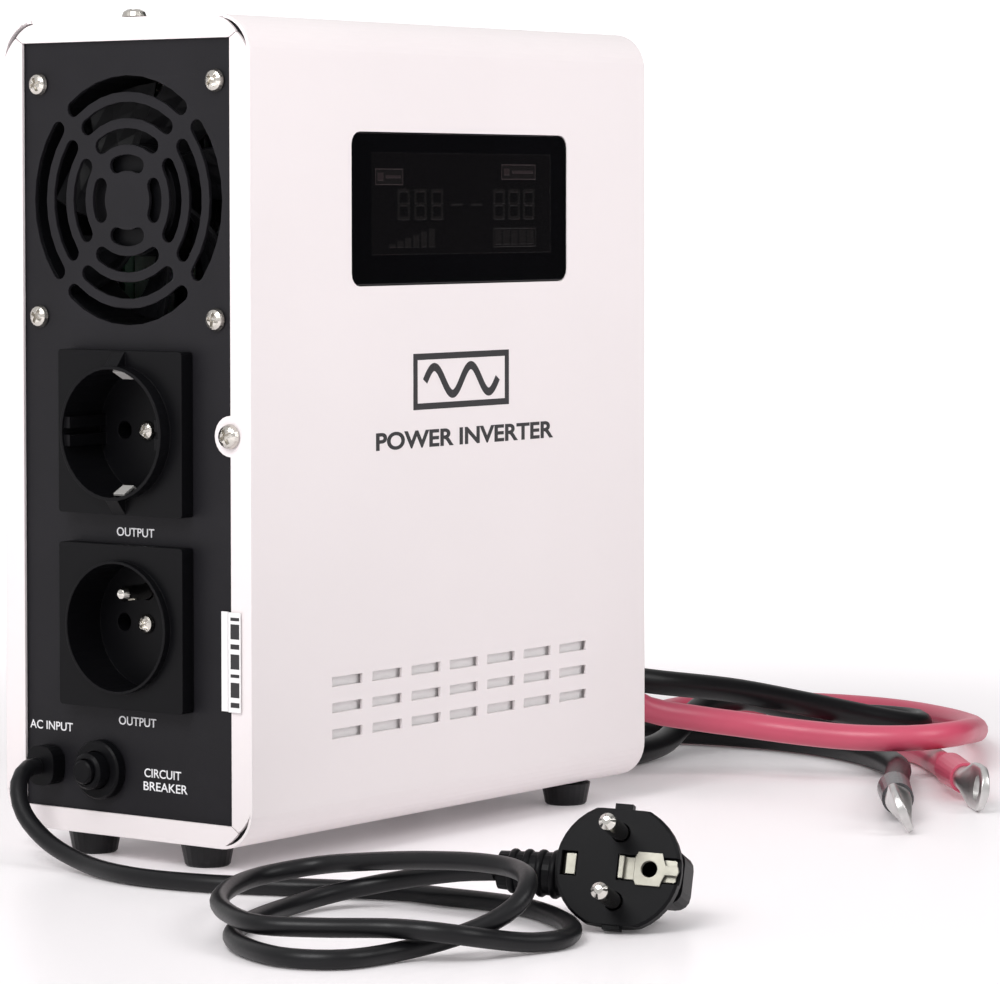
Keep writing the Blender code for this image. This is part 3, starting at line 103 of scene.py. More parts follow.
def material(name, colour, rough, metallic=0.0, specular=0.5, coat=0.0, coat_rough=0.1,
             grain=1500.0, bump=0.15, depth=0.00006, tint=0.05, rough_span=0.08, blotch=25.0,
             stretch=None, edge=0.0003):
    """A principled surface with fine grain in its relief, soft variation of colour and of roughness."""
    made = bpy.data.materials.new(name)
    made.use_nodes = True
    nodes, links = made.node_tree.nodes, made.node_tree.links
    shader = nodes["Principled BSDF"]
    shader.inputs["Metallic"].default_value = metallic
    shader.inputs["Specular IOR Level"].default_value = specular
    shader.inputs["Coat Weight"].default_value = coat
    shader.inputs["Coat Roughness"].default_value = coat_rough
    coords = nodes.new("ShaderNodeTexCoord")
    vector = coords.outputs["Object"]
    if stretch:
        mapping = nodes.new("ShaderNodeMapping")
        mapping.inputs["Scale"].default_value = stretch
        links.new(vector, mapping.inputs["Vector"])
        vector = mapping.outputs["Vector"]

    patches = nodes.new("ShaderNodeTexNoise")
    patches.inputs["Scale"].default_value = blotch
    patches.inputs["Detail"].default_value = 4.0
    links.new(vector, patches.inputs["Vector"])
    ramp = nodes.new("ShaderNodeValToRGB")
    ramp.color_ramp.elements[0].position = 0.3
    ramp.color_ramp.elements[1].position = 0.7
    ramp.color_ramp.elements[0].color = (*[c * (1 - tint) for c in colour], 1)
    ramp.color_ramp.elements[1].color = (*[min(1.0, c * (1 + tint)) for c in colour], 1)
    links.new(patches.outputs["Fac"], ramp.inputs["Fac"])
    links.new(ramp.outputs["Color"], shader.inputs["Base Color"])

    grains = nodes.new("ShaderNodeTexNoise")
    grains.inputs["Scale"].default_value = grain
    grains.inputs["Detail"].default_value = 3.0
    links.new(vector, grains.inputs["Vector"])
    spread = nodes.new("ShaderNodeMapRange")
    spread.inputs["To Min"].default_value = max(0.02, rough - rough_span)
    spread.inputs["To Max"].default_value = min(1.0, rough + rough_span)
    links.new(grains.outputs["Fac"], spread.inputs["Value"])
    links.new(spread.outputs["Result"], shader.inputs["Roughness"])

    edges = nodes.new("ShaderNodeBevel")
    edges.samples = 6
    edges.inputs["Radius"].default_value = edge
    relief = nodes.new("ShaderNodeBump")
    links.new(edges.outputs["Normal"], relief.inputs["Normal"])
    relief.inputs["Strength"].default_value = bump
    relief.inputs["Distance"].default_value = depth
    links.new(grains.outputs["Fac"], relief.inputs["Height"])
    links.new(relief.outputs["Normal"], shader.inputs["Normal"])
    return made


LOOKS = {
    "white_powder_coat": material(
        "white_powder_coat", (0.82, 0.765, 0.77), 0.50, specular=0.4, grain=1900.0, bump=0.35, depth=0.00008,
        tint=0.012, blotch=12.0),
    "black_satin_paint": material(
        "black_satin_paint", (0.0095, 0.009, 0.0112), 0.50, specular=0.2, grain=2600.0, bump=0.5, depth=0.00008,
        tint=0.12, blotch=40.0),
    "black_plastic": material(
        "black_plastic", (0.003, 0.003, 0.0038), 0.42, specular=0.12, grain=3000.0, bump=0.16, depth=0.00005,
        tint=0.10),
    "black_gloss_window": material(
        "black_gloss_window", (0.0015, 0.0015, 0.002), 0.07, specular=0.22, grain=600.0, bump=0.01,
        depth=0.00002, tint=0.15, rough_span=0.03),
    "black_rubber": material(
        "black_rubber", (0.0045, 0.0045, 0.0055), 0.38, specular=0.27, grain=1200.0, bump=0.12, depth=0.00006,
        tint=0.15),
    "red_jacket": material(
        "red_jacket", (0.56, 0.075, 0.135), 0.38, specular=0.5, grain=900.0, bump=0.12, depth=0.00006,
        tint=0.08, coat=0.1, coat_rough=0.3),
    "nickel_plate": material(
        "nickel_plate", (0.60, 0.575, 0.53), 0.24, metallic=1.0, grain=1800.0, bump=0.08, depth=0.00003,
        tint=0.06),
    "tin_plate": material(
        "tin_plate", (0.62, 0.61, 0.60), 0.33, metallic=1.0, grain=1400.0, bump=0.22, depth=0.00005,
        tint=0.12, blotch=160.0),
    "aluminium": material(
        "aluminium", (0.72, 0.73, 0.75), 0.36, metallic=1.0, grain=1500.0, bump=0.12, depth=0.00004,
        stretch=(1.0, 1.0, 0.05)),
    "circuit_board": material(
        "circuit_board", (0.02, 0.14, 0.05), 0.42, coat=0.3, coat_rough=0.2, grain=700.0, bump=0.2,
        depth=0.00006, tint=0.2, blotch=260.0),
    "winding_tape": material(
        "winding_tape", (0.62, 0.46, 0.10), 0.40, grain=500.0, bump=0.35, depth=0.0001, tint=0.12,
        blotch=90.0, coat=0.2, coat_rough=0.2),
    "dark_plastic": material("dark_plastic", (0.03, 0.03, 0.032), 0.45, grain=1600.0, bump=0.2),
    "capacitor_sleeve": material("capacitor_sleeve", (0.02, 0.025, 0.07), 0.30, grain=900.0, bump=0.1, coat=0.3),
    "sticker": material("sticker", (0.86, 0.85, 0.85), 0.38, grain=900.0, bump=0.05, tint=0.02),
}
SLEEVE_LOOK = material(
    "clear_black_sleeve", (0.035, 0.033, 0.037), 0.33, grain=900.0, bump=0.15, tint=0.25, blotch=200.0,
    coat=0.3, coat_rough=0.25)
# Painted light: the chassis tray's inner coat is made whiter than the cover's white coat, so the shaded backing seen
# through the slots looks lit.
INNER_COAT_LIFTED = material("inner_coat_lifted", (0.97, 0.95, 0.95), 0.5, specular=0.4, grain=1900.0, bump=0.3, tint=0.01)
PRINT_DARK = material("print_dark", (0.02, 0.019, 0.021), 0.5, grain=2500.0, bump=0.1, tint=0.1)
PRINT_PALE = material("print_pale", (0.86, 0.86, 0.88), 0.55, grain=2500.0, bump=0.1, tint=0.06)
GLASS_FIELD = material("glass_field", (0.0032, 0.0030, 0.0034), 0.09, specular=0.22, grain=900.0, bump=0.01)
GLASS_MARK = material("glass_mark", (0.0075, 0.0068, 0.0070), 0.14, specular=0.22, grain=900.0, bump=0.01)
GLASS_BRIGHT = material("glass_bright", (0.019, 0.014, 0.015), 0.14, specular=0.22, grain=900.0, bump=0.01)
CLIP_METAL = material(
    "clip_metal", (0.30, 0.29, 0.25), 0.36, metallic=1.0, grain=1300.0, bump=0.12, depth=0.00003, tint=0.12,
    blotch=220.0)
# Painted highlight: the earth strap is pale and only partly metallic, so its bends show as bright glints even where it
# lies in shade.
STRAP_GLINT_METAL = material(
    "strap_glint_metal", (0.60, 0.59, 0.57), 0.45, metallic=0.35, grain=1300.0, bump=0.1, depth=0.00003, tint=0.05)
PIN_METAL = material(
    "pin_metal", (0.66, 0.64, 0.60), 0.13, metallic=1.0, grain=1500.0, bump=0.05, depth=0.00002, tint=0.04)

SLOT_OF = {entry["node"]: entry["material_slot"] for entry in frame["record"]["subparts"]}


for name, node in NODES.items():
    for place in node.material_slots:
        place.material = LOOKS[SLOT_OF[name]]
for name in ("plug_pin_1", "plug_pin_2", "lower_earth_pin"):
    for place in NODES[name].material_slots:
        place.material = PIN_METAL
for name, look in (("battery_sleeve_black", SLEEVE_LOOK), ("plug_earth_clip_1", CLIP_METAL),
                   ("plug_earth_clip_2", CLIP_METAL), ("upper_earth_strap", STRAP_GLINT_METAL),
                   ("chassis_tray", INNER_COAT_LIFTED)):
    for place in NODES[name].material_slots:
        place.material = look


def place_piece(obj, body):
    if obj.name not in bpy.context.scene.collection.objects:
        bpy.context.scene.collection.objects.link(obj)
    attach(obj, body)
    return obj


# ---------------------------------------------------------------- cords

MAINS_DIAMETER = 0.0054
BATTERY_DIAMETER = 0.009
MAINS_ROUTE = (
    (-0.1046, 0.0320, 0.0275), (-0.1090, 0.0320, 0.0272), (-0.1145, 0.0303, 0.0235),
    (-0.1185, 0.0250, 0.0160), (-0.1205, 0.0140, 0.0085), (-0.1235, -0.0030, 0.0038),
    (-0.1300, -0.0280, 0.0028), (-0.1280, -0.0540, 0.0028), (-0.1190, -0.0780, 0.0028),
    (-0.1053, -0.1121, 0.0028), (-0.1049, -0.1256, 0.0028), (-0.1049, -0.1523, 0.0028),
    (-0.1132, -0.1715, 0.0028), (-0.1270, -0.1877, 0.0028), (-0.1413, -0.1943, 0.0028),
    (-0.1517, -0.1919, 0.0032), (-0.1621, -0.1887, 0.0050), (-0.1731, -0.1854, 0.0074),
    (-0.1792, -0.1783, 0.0087), (-0.1820, -0.1681, 0.0088), (-0.1928, -0.1513, 0.0088),
    (-0.1984, -0.1362, 0.0088), (-0.1901, -0.1186, 0.0088), (-0.1757, -0.1027, 0.0088),
    (-0.1555, -0.0903, 0.0088), (-0.1377, -0.0860, 0.0092), (-0.1240, -0.0950, 0.0112),
    (-0.1236, -0.1149, 0.0142), (-0.1259, -0.1382, 0.0170), (-0.1280, -0.1573, 0.0184),
    (-0.1324, -0.1723, 0.0186), (-0.1443, -0.1854, 0.0176), (-0.1513, -0.1876, 0.0136),
    (-0.1582, -0.1847, 0.0094), (-0.1672, -0.1785, 0.0057), (-0.1804, -0.1709, 0.0030),
    (-0.1997, -0.1653, 0.0028), (-0.2062, -0.1520, 0.0028), (-0.2012, -0.1341, 0.0028),
    (-0.1896, -0.1192, 0.0028), (-0.1716, -0.1091, 0.0028), (-0.1436, -0.1019, 0.0030),
    (-0.1258, -0.1057, 0.0050), (-0.1159, -0.1204, 0.0086), (-0.1120, -0.1390, 0.0120),
    (-0.1101, -0.1490, 0.0129),
)
BLACK_ROUTE = (
    (0.1188, 0.0140, 0.0380), (0.1260, 0.0140, 0.0379), (0.1370, 0.0125, 0.0372),
    (0.1520, 0.0072, 0.0347), (0.1700, -0.0080, 0.0310), (0.2080, -0.0180, 0.0249),
    (0.2440, -0.0250, 0.0172), (0.2660, -0.0310, 0.0120), (0.2850, -0.0380, 0.0075),
    (0.2990, -0.0410, 0.0050), (0.3110, -0.0330, 0.0047), (0.3130, -0.0160, 0.0047),
    (0.3010, 0.0000, 0.0058), (0.2810, 0.0090, 0.0103), (0.2620, 0.0110, 0.0146),
    (0.2460, 0.0110, 0.0154), (0.2320, 0.0110, 0.0146), (0.2160, 0.0090, 0.0102),
    (0.1990, 0.0050, 0.0058), (0.1780, 0.0010, 0.0047), (0.1550, 0.0020, 0.0047),
    (0.1370, 0.0140, 0.0047), (0.1300, 0.0340, 0.0047), (0.1370, 0.0530, 0.0047),
    (0.1550, 0.0640, 0.0047), (0.1780, 0.0650, 0.0047), (0.2000, 0.0570, 0.0047),
    (0.2190, 0.0420, 0.0047), (0.2310, 0.0200, 0.0047), (0.2360, -0.0060, 0.0047),
    (0.2340, -0.0330, 0.0047), (0.2250, -0.0580, 0.0047), (0.2110, -0.0790, 0.0047),
    (0.1920, -0.0970, 0.0049), (0.1640, -0.1140, 0.0065), (0.1310, -0.1330, 0.0078),
)
RED_ROUTE = (
    (0.1210, -0.0140, 0.0380), (0.1260, -0.0140, 0.0375), (0.1340, -0.0160, 0.0336),
    (0.1460, -0.0222, 0.0248), (0.1605, -0.0325, 0.0208), (0.1730, -0.0460, 0.0180),
    (0.1815, -0.0640, 0.0158), (0.1870, -0.0840, 0.0149), (0.1970, -0.1010, 0.0150),
    (0.2130, -0.1065, 0.0151), (0.2320, -0.1010, 0.0137), (0.2520, -0.0920, 0.0113),
    (0.2760, -0.0795, 0.0083), (0.3010, -0.0620, 0.0059), (0.3210, -0.0400, 0.0048),
    (0.3325, -0.0140, 0.0047), (0.3340, 0.0130, 0.0047), (0.3260, 0.0380, 0.0047),
    (0.3080, 0.0550, 0.0047), (0.2860, 0.0610, 0.0047), (0.2670, 0.0530, 0.0047),
    (0.2585, 0.0350, 0.0047), (0.2575, 0.0120, 0.0047), (0.2570, -0.0140, 0.0047),
    (0.2540, -0.0400, 0.0047), (0.2450, -0.0640, 0.0047), (0.2310, -0.0840, 0.0047),
    (0.2125, -0.1010, 0.0051), (0.1830, -0.1235, 0.0075),
)


def smooth_route(points, spacing):
    """Evenly spaced points on a centripetal Catmull-Rom curve through the route's points."""
    knots = [Vector(p) for p in points]
    knots = [2 * knots[0] - knots[1]] + knots + [2 * knots[-1] - knots[-2]]
    times = [0.0]
    for first, second in zip(knots, knots[1:]):
        times.append(times[-1] + math.sqrt((second - first).length))
    fine = []
    for i in range(1, len(knots) - 2):
        t0, t1, t2, t3 = times[i - 1:i + 3]
        p0, p1, p2, p3 = knots[i - 1:i + 3]
        for step in range(16):
            t = t1 + (t2 - t1) * step / 16
            a1 = p0.lerp(p1, (t - t0) / (t1 - t0))
            a2 = p1.lerp(p2, (t - t1) / (t2 - t1))
            a3 = p2.lerp(p3, (t - t2) / (t3 - t2))
            b1 = a1.lerp(a2, (t - t0) / (t2 - t0))
            b2 = a2.lerp(a3, (t - t1) / (t3 - t1))
            fine.append(b1.lerp(b2, (t - t1) / (t2 - t1)))
    fine.append(knots[-2])
    lengths = [0.0]
    for first, second in zip(fine, fine[1:]):
        lengths.append(lengths[-1] + (second - first).length)
    count = max(2, round(lengths[-1] / spacing))
    even, index = [], 0
    for step in range(count + 1):
        target = lengths[-1] * step / count
        while index < len(fine) - 2 and lengths[index + 1] < target:
            index += 1
        share = (target - lengths[index]) / (lengths[index + 1] - lengths[index])
        even.append(fine[index].lerp(fine[index + 1], share))
    return even, lengths[-1]


def cord_piece(name, node, route, diameter, look):
    points, length = smooth_route(route, 0.7 * diameter)
    curve = bpy.data.curves.new(name, "CURVE")
    curve.dimensions = "3D"
    curve.bevel_depth = diameter / 2
    curve.bevel_resolution = 5
    curve.use_fill_caps = True
    spline = curve.splines.new("POLY")
    spline.points.add(len(points) - 1)
    for point, place in zip(spline.points, points):
        point.co = (*place, 1.0)
    spline.use_smooth = True
    obj = bpy.data.objects.new(name, curve)
    curve.materials.append(look)
    place_piece(obj, "housing")
    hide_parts(node)
    return obj


# ---------------------------------------------------------------- refined shapes over the CAD nodes


def refined(name, node, look=None, angle=28.0):
    """A copy of a CAD node with joined vertices and even shading over its flat faces, which stands for it."""
    source = NODES[node]
    bm = bmesh.new()
    bm.from_mesh(source.data)
    bmesh.ops.remove_doubles(bm, verts=bm.verts, dist=2e-6)
    mesh = bpy.data.meshes.new(name)
    bm.to_mesh(mesh)
    bm.free()
    obj = bpy.data.objects.new(name, mesh)
    mesh.materials.clear()
    mesh.materials.append(look or LOOKS[SLOT_OF[node]])
    mesh.polygons.foreach_set("material_index", [0] * len(mesh.polygons))
    mesh.shade_smooth()
    mesh.set_sharp_from_angle(angle=math.radians(angle))
    evener = obj.modifiers.new("even_normals", "WEIGHTED_NORMAL")
    evener.mode = "FACE_AREA"
    evener.weight = 100
    evener.keep_sharp = True
    body = body_of(source)[0]
    place_piece(obj, body)
    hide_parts(node)
    return obj


# ---------------------------------------------------------------- prints and marks


def flat_faces(name, polygons, origin, across, up, lift, look, body="housing"):
    """Thin raised print made of flat polygons in the plane spanned by across and up."""
    out = across.cross(up)
    bm = bmesh.new()
    for polygon in polygons:
        top = [bm.verts.new(origin + across * a + up * b + out * lift) for a, b in polygon]
        base = [bm.verts.new(origin + across * a + up * b) for a, b in polygon]
        bm.faces.new(top)
        bm.faces.new(list(reversed(base)))
        for i in range(len(polygon)):
            j = (i + 1) % len(polygon)
            bm.faces.new((top[j], top[i], base[i], base[j]))
    bmesh.ops.recalc_face_normals(bm, faces=bm.faces)
    mesh = bpy.data.meshes.new(name)
    bm.to_mesh(mesh)
    bm.free()
    mesh.materials.append(look)
    return place_piece(bpy.data.objects.new(name, mesh), body)


def rectangle(low_a, low_b, high_a, high_b):
    return [(low_a, low_b), (high_a, low_b), (high_a, high_b), (low_a, high_b)]


def word(name, text, centre, width, height, across, up, look, weight=0.012):
    """A word of raised print with the given size, centred on a point."""
    curve = bpy.data.curves.new(name, "FONT")
    curve.body = text
    curve.extrude = 0.5
    curve.offset = weight
    curve.align_x = "CENTER"
    maker = bpy.data.objects.new(name + "_maker", curve)
    bpy.context.scene.collection.objects.link(maker)
    bpy.context.view_layer.update()
    mesh = bpy.data.meshes.new_from_object(maker)
    bpy.data.objects.remove(maker)
    xs = [v.co.x for v in mesh.vertices]
    ys = [v.co.y for v in mesh.vertices]
    out = across.cross(up)
    for vertex in mesh.vertices:
        a = ((vertex.co.x - min(xs)) / (max(xs) - min(xs)) - 0.5) * width
        b = ((vertex.co.y - min(ys)) / (max(ys) - min(ys)) - 0.5) * height
        lift = 0.00004 * (vertex.co.z > 0)
        vertex.co = centre + across * a + up * b + out * lift
    mesh.name = name
    mesh.materials.clear()
    mesh.materials.append(look)
    return place_piece(bpy.data.objects.new(name, mesh), "housing")


LEFT, UP, ALONG = Vector((0, -1, 0)), Vector((0, 0, 1)), Vector((1, 0, 0))


def on_panel(y, below_top):
    return Vector((PANEL_FACE, y, TOP - below_top))


def on_side(along, below_top, lift=0.0):
    return Vector((SOCKET_END + along, -SIDE - lift, TOP - below_top))


# ---------------------------------------------------------------- plug details and lugs

PLUG_PLACE = (-0.1097, -0.1904, 0.0180)
PLUG_TURN, PLUG_TILT, PLUG_ROLL = (math.radians(angle) for angle in (202.0, 18.5, -2.5))
ahead = Vector((math.cos(PLUG_TURN) * math.cos(PLUG_TILT), math.sin(PLUG_TURN) * math.cos(PLUG_TILT),
                math.sin(PLUG_TILT)))
aside = Vector((-math.sin(PLUG_TURN), math.cos(PLUG_TURN), 0.0))
PLUG = Matrix.Translation(PLUG_PLACE) @ (
    Matrix((aside, ahead.cross(aside), ahead)).transposed() @ Matrix.Rotation(PLUG_ROLL, 3, "Z")).to_4x4()


def sheet_piece(name, outlines, low, high, matrix, look):
    """A flat sheet with the given outline and holes, between two heights of its own frame."""
    curve = bpy.data.curves.new(name, "CURVE")
    curve.dimensions = "2D"
    curve.fill_mode = "BOTH"
    curve.extrude = (high - low) / 2
    for outline in outlines:
        spline = curve.splines.new("POLY")
        spline.points.add(len(outline) - 1)
        for point, place in zip(spline.points, outline):
            point.co = (*place, 0.0, 1.0)
        spline.use_cyclic_u = True
    maker = bpy.data.objects.new(name + "_maker", curve)
    bpy.context.scene.collection.objects.link(maker)
    bpy.context.view_layer.update()
    mesh = bpy.data.meshes.new_from_object(maker)
    bpy.data.objects.remove(maker)
    mesh.transform(matrix @ Matrix.Translation((0, 0, (low + high) / 2)))
    mesh.name = name
    mesh.materials.clear()
    mesh.materials.append(look)
    return place_piece(bpy.data.objects.new(name, mesh), "housing")


def circle_points(centre, radius, count=24):
    return [(centre[0] + radius * math.cos(2 * math.pi * i / count),
             centre[1] + radius * math.sin(2 * math.pi * i / count)) for i in range(count)]


def ringed(name, rings, matrix, look):
    """A closed skin over rings of points of equal count, capped at both ends."""
    bm = bmesh.new()
    made = [[bm.verts.new(matrix @ Vector(point)) for point in ring] for ring in rings]
    count = len(rings[0])
    for first, second in zip(made, made[1:]):
        for i in range(count):
            j = (i + 1) % count
            bm.faces.new((first[i], first[j], second[j], second[i]))
    bm.faces.new(list(reversed(made[0])))
    bm.faces.new(made[-1])
    bmesh.ops.recalc_face_normals(bm, faces=bm.faces)
    mesh = bpy.data.meshes.new(name)
    bm.to_mesh(mesh)
    bm.free()
    mesh.materials.append(look)
    mesh.shade_smooth()
    mesh.set_sharp_from_angle(angle=math.radians(40))
    return place_piece(bpy.data.objects.new(name, mesh), "housing")


def boot_rib(number, middle):
    """One raised rib round the plug's boot, whose axis is parallel to the plug's own x."""
    radius = 0.0068 - 0.0014 * (-0.0080 - middle) / 0.0290
    rings = []
    for along, grow in ((-0.0012, -0.0004), (-0.0009, 0.0004), (-0.0004, 0.0007), (0.0004, 0.0007),
                        (0.0009, 0.0004), (0.0012, -0.0004)):
        rings.append([
            (middle + along, -0.0013 + (radius + grow) * math.cos(a), -0.0150 + (radius + grow) * math.sin(a))
            for a in (2 * math.pi * i / 32 for i in range(32))
        ])
    return ringed(f"boot_rib_{number}", rings, PLUG, LOOKS["black_plastic"])


def lug_piece(name, node, place, heading, lean):
    """A tube that is pressed flat into a palm with a round tip and a hole."""
    matrix = Matrix.Translation(place) @ Matrix.Rotation(math.radians(heading), 4, "Z") @ Matrix.Rotation(
        math.radians(lean), 4, "X")
    start, barrel, half, sheet = 0.0243, 0.0043, 0.0075, 0.0014
    press, flat, tip = start + 0.0050, start + 0.0150, start + 0.0320
    rings = []
    stations = [start + 0.0050 * i / 3 for i in range(3)] + [press + 0.0100 * i / 8 for i in range(8)]
    stations += [flat + (tip - half - flat) * i / 3 for i in range(3)]
    stations += [tip - half + half * math.sin(math.pi / 2 * i / 10) for i in range(10)] + [tip - 0.00002]
    for x in stations:
        share = min(1.0, max(0.0, (x - press) / (flat - press)))
        share = share * share * (3 - 2 * share)
        high = barrel + (half - barrel) * share
        thick = barrel + (sheet - barrel) * share
        power = 2.0 + 3.0 * share
        past = max(0.0, x - (tip - half))
        high *= math.sqrt(max(0.0004, 1 - (past / half) ** 2))
        ring = []
        for i in range(36):
            angle = 2 * math.pi * i / 36
            c, s = math.cos(angle), math.sin(angle)
            ring.append((x, math.copysign(abs(c) ** (2 / power), c) * thick,
                         math.copysign(abs(s) ** (2 / power), s) * high))
        rings.append(ring)
    obj = ringed(name, rings, matrix, LOOKS["tin_plate"])
    punch_mesh = bpy.data.meshes.new("punch")
    bm = bmesh.new()
    bmesh.ops.create_cone(bm, cap_ends=True, segments=32, radius1=0.0041, radius2=0.0041, depth=0.02)
    bm.to_mesh(punch_mesh)
    bm.free()
    punch_mesh.transform(matrix @ Matrix.Translation((tip - half, 0, 0)) @ Matrix.Rotation(math.pi / 2, 4, "X"))
    punch = bpy.data.objects.new("punch", punch_mesh)
    bpy.context.scene.collection.objects.link(punch)
    cutter = obj.modifiers.new("hole", "BOOLEAN")
    cutter.object = punch
    cutter.solver = "EXACT"
    bpy.context.view_layer.update()
    evaluated = obj.evaluated_get(bpy.context.evaluated_depsgraph_get())
    drilled = bpy.data.meshes.new_from_object(evaluated)
    obj.modifiers.clear()
    obj.data = drilled
    drilled.name = name
    bpy.data.objects.remove(punch)
    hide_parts(node)
    return obj


# ---------------------------------------------------------------- build

black_lug = lug_piece("black_lug", "battery_lug_black", (0.1306, -0.1332, 0.0077), 214.2, 23.0)
red_lug = lug_piece("red_lug", "battery_lug_red", (0.1825, -0.1240, 0.0077), 222.2, -8.0)
ribs = [boot_rib(number, -0.0165 - 0.0041 * number) for number in range(5)]
clip_cross = sheet_piece(
    "earth_clip_cross",
    [[(0.0050, -0.0031), (0.0058, -0.0046), (0.0126, -0.0046), (0.0130, -0.0031), (0.0138, -0.0013), (0.0172, -0.0013),
      (0.0176, 0.0), (0.0172, 0.0013), (0.0138, 0.0013), (0.0130, 0.0031), (0.0126, 0.0046), (0.0058, 0.0046),
      (0.0050, 0.0031)], circle_points((0.0092, 0.0), 0.0023)],
    0.00015, 0.00065, PLUG, CLIP_METAL)
clip_lip = sheet_piece(
    "earth_clip_lip", [rectangle(0.0006, -0.0031, 0.0020, 0.0031)], -0.0009, 0.0009, PLUG, CLIP_METAL)
cord_piece(
    "mains_cord", "mains_lead", MAINS_ROUTE, MAINS_DIAMETER, LOOKS["black_rubber"])
cord_piece(
    "black_battery_cord", "battery_lead_black", BLACK_ROUTE, BATTERY_DIAMETER, LOOKS["black_rubber"])
cord_piece(
    "red_battery_cord", "battery_lead_red", RED_ROUTE, BATTERY_DIAMETER, LOOKS["red_jacket"])

for name, node in (
    ("display_side_cover", "main_cover"), ("plain_cover", "plain_side_cover"),
    ("painted_socket_panel", "socket_panel"), ("painted_cable_panel", "cable_panel"),
    ("window_pane", "display_window"),
):
    refined(name, node)

for name, text, y, below_top, width in (
    ("output_word_upper", "OUTPUT", -0.0029, 0.1565, 0.0152), ("output_word_lower", "OUTPUT", -0.0034, 0.2143, 0.0152),
    ("input_words", "AC INPUT", 0.0322, 0.2180, 0.0179), ("circuit_word", "CIRCUIT", -0.0135, 0.2296, 0.0148),
    ("breaker_word", "BREAKER", -0.0146, 0.2336, 0.0177),
):
    word(name, text, on_panel(y, below_top), width, 0.0027, LEFT, UP, PRINT_PALE)

# Plain bars on the seal sticker.
STICKER_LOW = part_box("seal_sticker")[0]
BAR_FROM, BAR_TO = 0.0004, 0.0038
bars = []
for low, high in ((0.0505, 0.0520), (0.0535, 0.0580), (0.0595, 0.0605), (0.0620, 0.0665), (0.0680, 0.0695),
                  (0.0710, 0.0755), (0.0765, 0.0775)):
    bars.append(rectangle(BAR_FROM, low, BAR_TO, high))
flat_faces("sticker_bars", bars, Vector((STICKER_LOW[0], STICKER_LOW[1] + 0.0043, 0.0)), LEFT, UP, 0.00003,
           PRINT_DARK)

# A plain wave in a frame, and two words, on the display side.
EMBLEM = (0.1035, 0.1123)
WAVE_HALF, WAVE_HIGH, WAVE_LINE = 0.0190, 0.0044, 0.0013
WAVE_STEPS = 64
FRAME_OUT_A, FRAME_IN_A, FRAME_OUT_B, FRAME_IN_B = 0.0250, 0.0228, 0.0088, 0.0068
wave = []
for step in range(WAVE_STEPS):
    ends = [WAVE_HALF * (2 * (step + k) / WAVE_STEPS - 1) for k in (0, 1)]
    highs = [WAVE_HIGH * math.sin(2 * math.pi * end / WAVE_HALF) for end in ends]
    slopes = [WAVE_HIGH * 2 * math.pi / WAVE_HALF * math.cos(2 * math.pi * end / WAVE_HALF) for end in ends]
    sides = [WAVE_LINE * Vector((-slope, 1.0)).normalized() for slope in slopes]
    wave.append([
        (ends[0] - sides[0].x, highs[0] - sides[0].y), (ends[1] - sides[1].x, highs[1] - sides[1].y),
        (ends[1] + sides[1].x, highs[1] + sides[1].y), (ends[0] + sides[0].x, highs[0] + sides[0].y),
    ])
frame_marks = [
    rectangle(-FRAME_OUT_A, FRAME_IN_B, FRAME_OUT_A, FRAME_OUT_B),
    rectangle(-FRAME_OUT_A, -FRAME_OUT_B, FRAME_OUT_A, -FRAME_IN_B),
    rectangle(-FRAME_OUT_A, -FRAME_IN_B, -FRAME_IN_A, FRAME_IN_B),
    rectangle(FRAME_IN_A, -FRAME_IN_B, FRAME_OUT_A, FRAME_IN_B),
]
flat_faces("side_emblem", wave + frame_marks, on_side(*EMBLEM), ALONG, UP, 0.00004, PRINT_DARK)
word("side_words", "POWER INVERTER", on_side(0.1062, 0.1302), 0.0930, 0.0056, ALONG, UP, PRINT_DARK, 0.03)

# What shows faintly under the window: a field, two boxes, digits, a rising graph and a cell gauge.


def digit(low_a, low_b, width, height, bar):
    """The seven bars of one digit."""
    mid = low_b + height / 2
    gap = 0.15 * bar
    left, right, top = low_a, low_a + width, low_b + height
    return [
        rectangle(left + bar, top - bar, right - bar, top),
        rectangle(left + bar, mid - bar / 2, right - bar, mid + bar / 2),
        rectangle(left + bar, low_b, right - bar, low_b + bar),
        rectangle(left, mid + gap, left + bar, top - gap),
        rectangle(right - bar, mid + gap, right, top - gap),
        rectangle(left, low_b + gap, left + bar, mid - gap),
        rectangle(right - bar, low_b + gap, right, mid - gap),
    ]


def outline_of(low_a, low_b, high_a, high_b, line):
    return [
        rectangle(low_a, high_b - line, high_a, high_b), rectangle(low_a, low_b, high_a, low_b + line),
        rectangle(low_a, low_b + line, low_a + line, high_b - line),
        rectangle(high_a - line, low_b + line, high_a, high_b - line),
    ]


PANE_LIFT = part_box("display_window")[0][1] + SIDE
GLASS = on_side(0.0, 0.0, -PANE_LIFT + 0.00001)
flat_faces("lcd_field", [rectangle(0.0580, -0.0725, 0.1515, -0.0408)], GLASS, ALONG, UP, 0.00002, GLASS_FIELD)
faint = []
for start in (0.0710, 0.0795, 0.0880, 0.1205, 0.1285, 0.1365):
    faint += digit(start, -0.0618, 0.0062, 0.0098, 0.0011)
for step in range(6):
    low = 0.0668 + 0.0040 * step
    faint.append(rectangle(low, -0.0703, low + 0.0031, -0.0692 + 0.00095 * step))
faint += [rectangle(0.0598, -0.0509, 0.0738, -0.0457), rectangle(0.1248, -0.0490, 0.1433, -0.0440)]
faint += outline_of(0.1205, -0.0706, 0.1435, -0.0643, 0.0005)
for step in range(5):
    low = 0.1214 + 0.0043 * step
    faint.append(rectangle(low, -0.0698, low + 0.0036, -0.0651))
for low in (0.0985, 0.1085):
    faint.append(rectangle(low, -0.0572, low + 0.0060, -0.0566))
flat_faces("lcd_figures", faint, GLASS, ALONG, UP, 0.00004, GLASS_MARK)
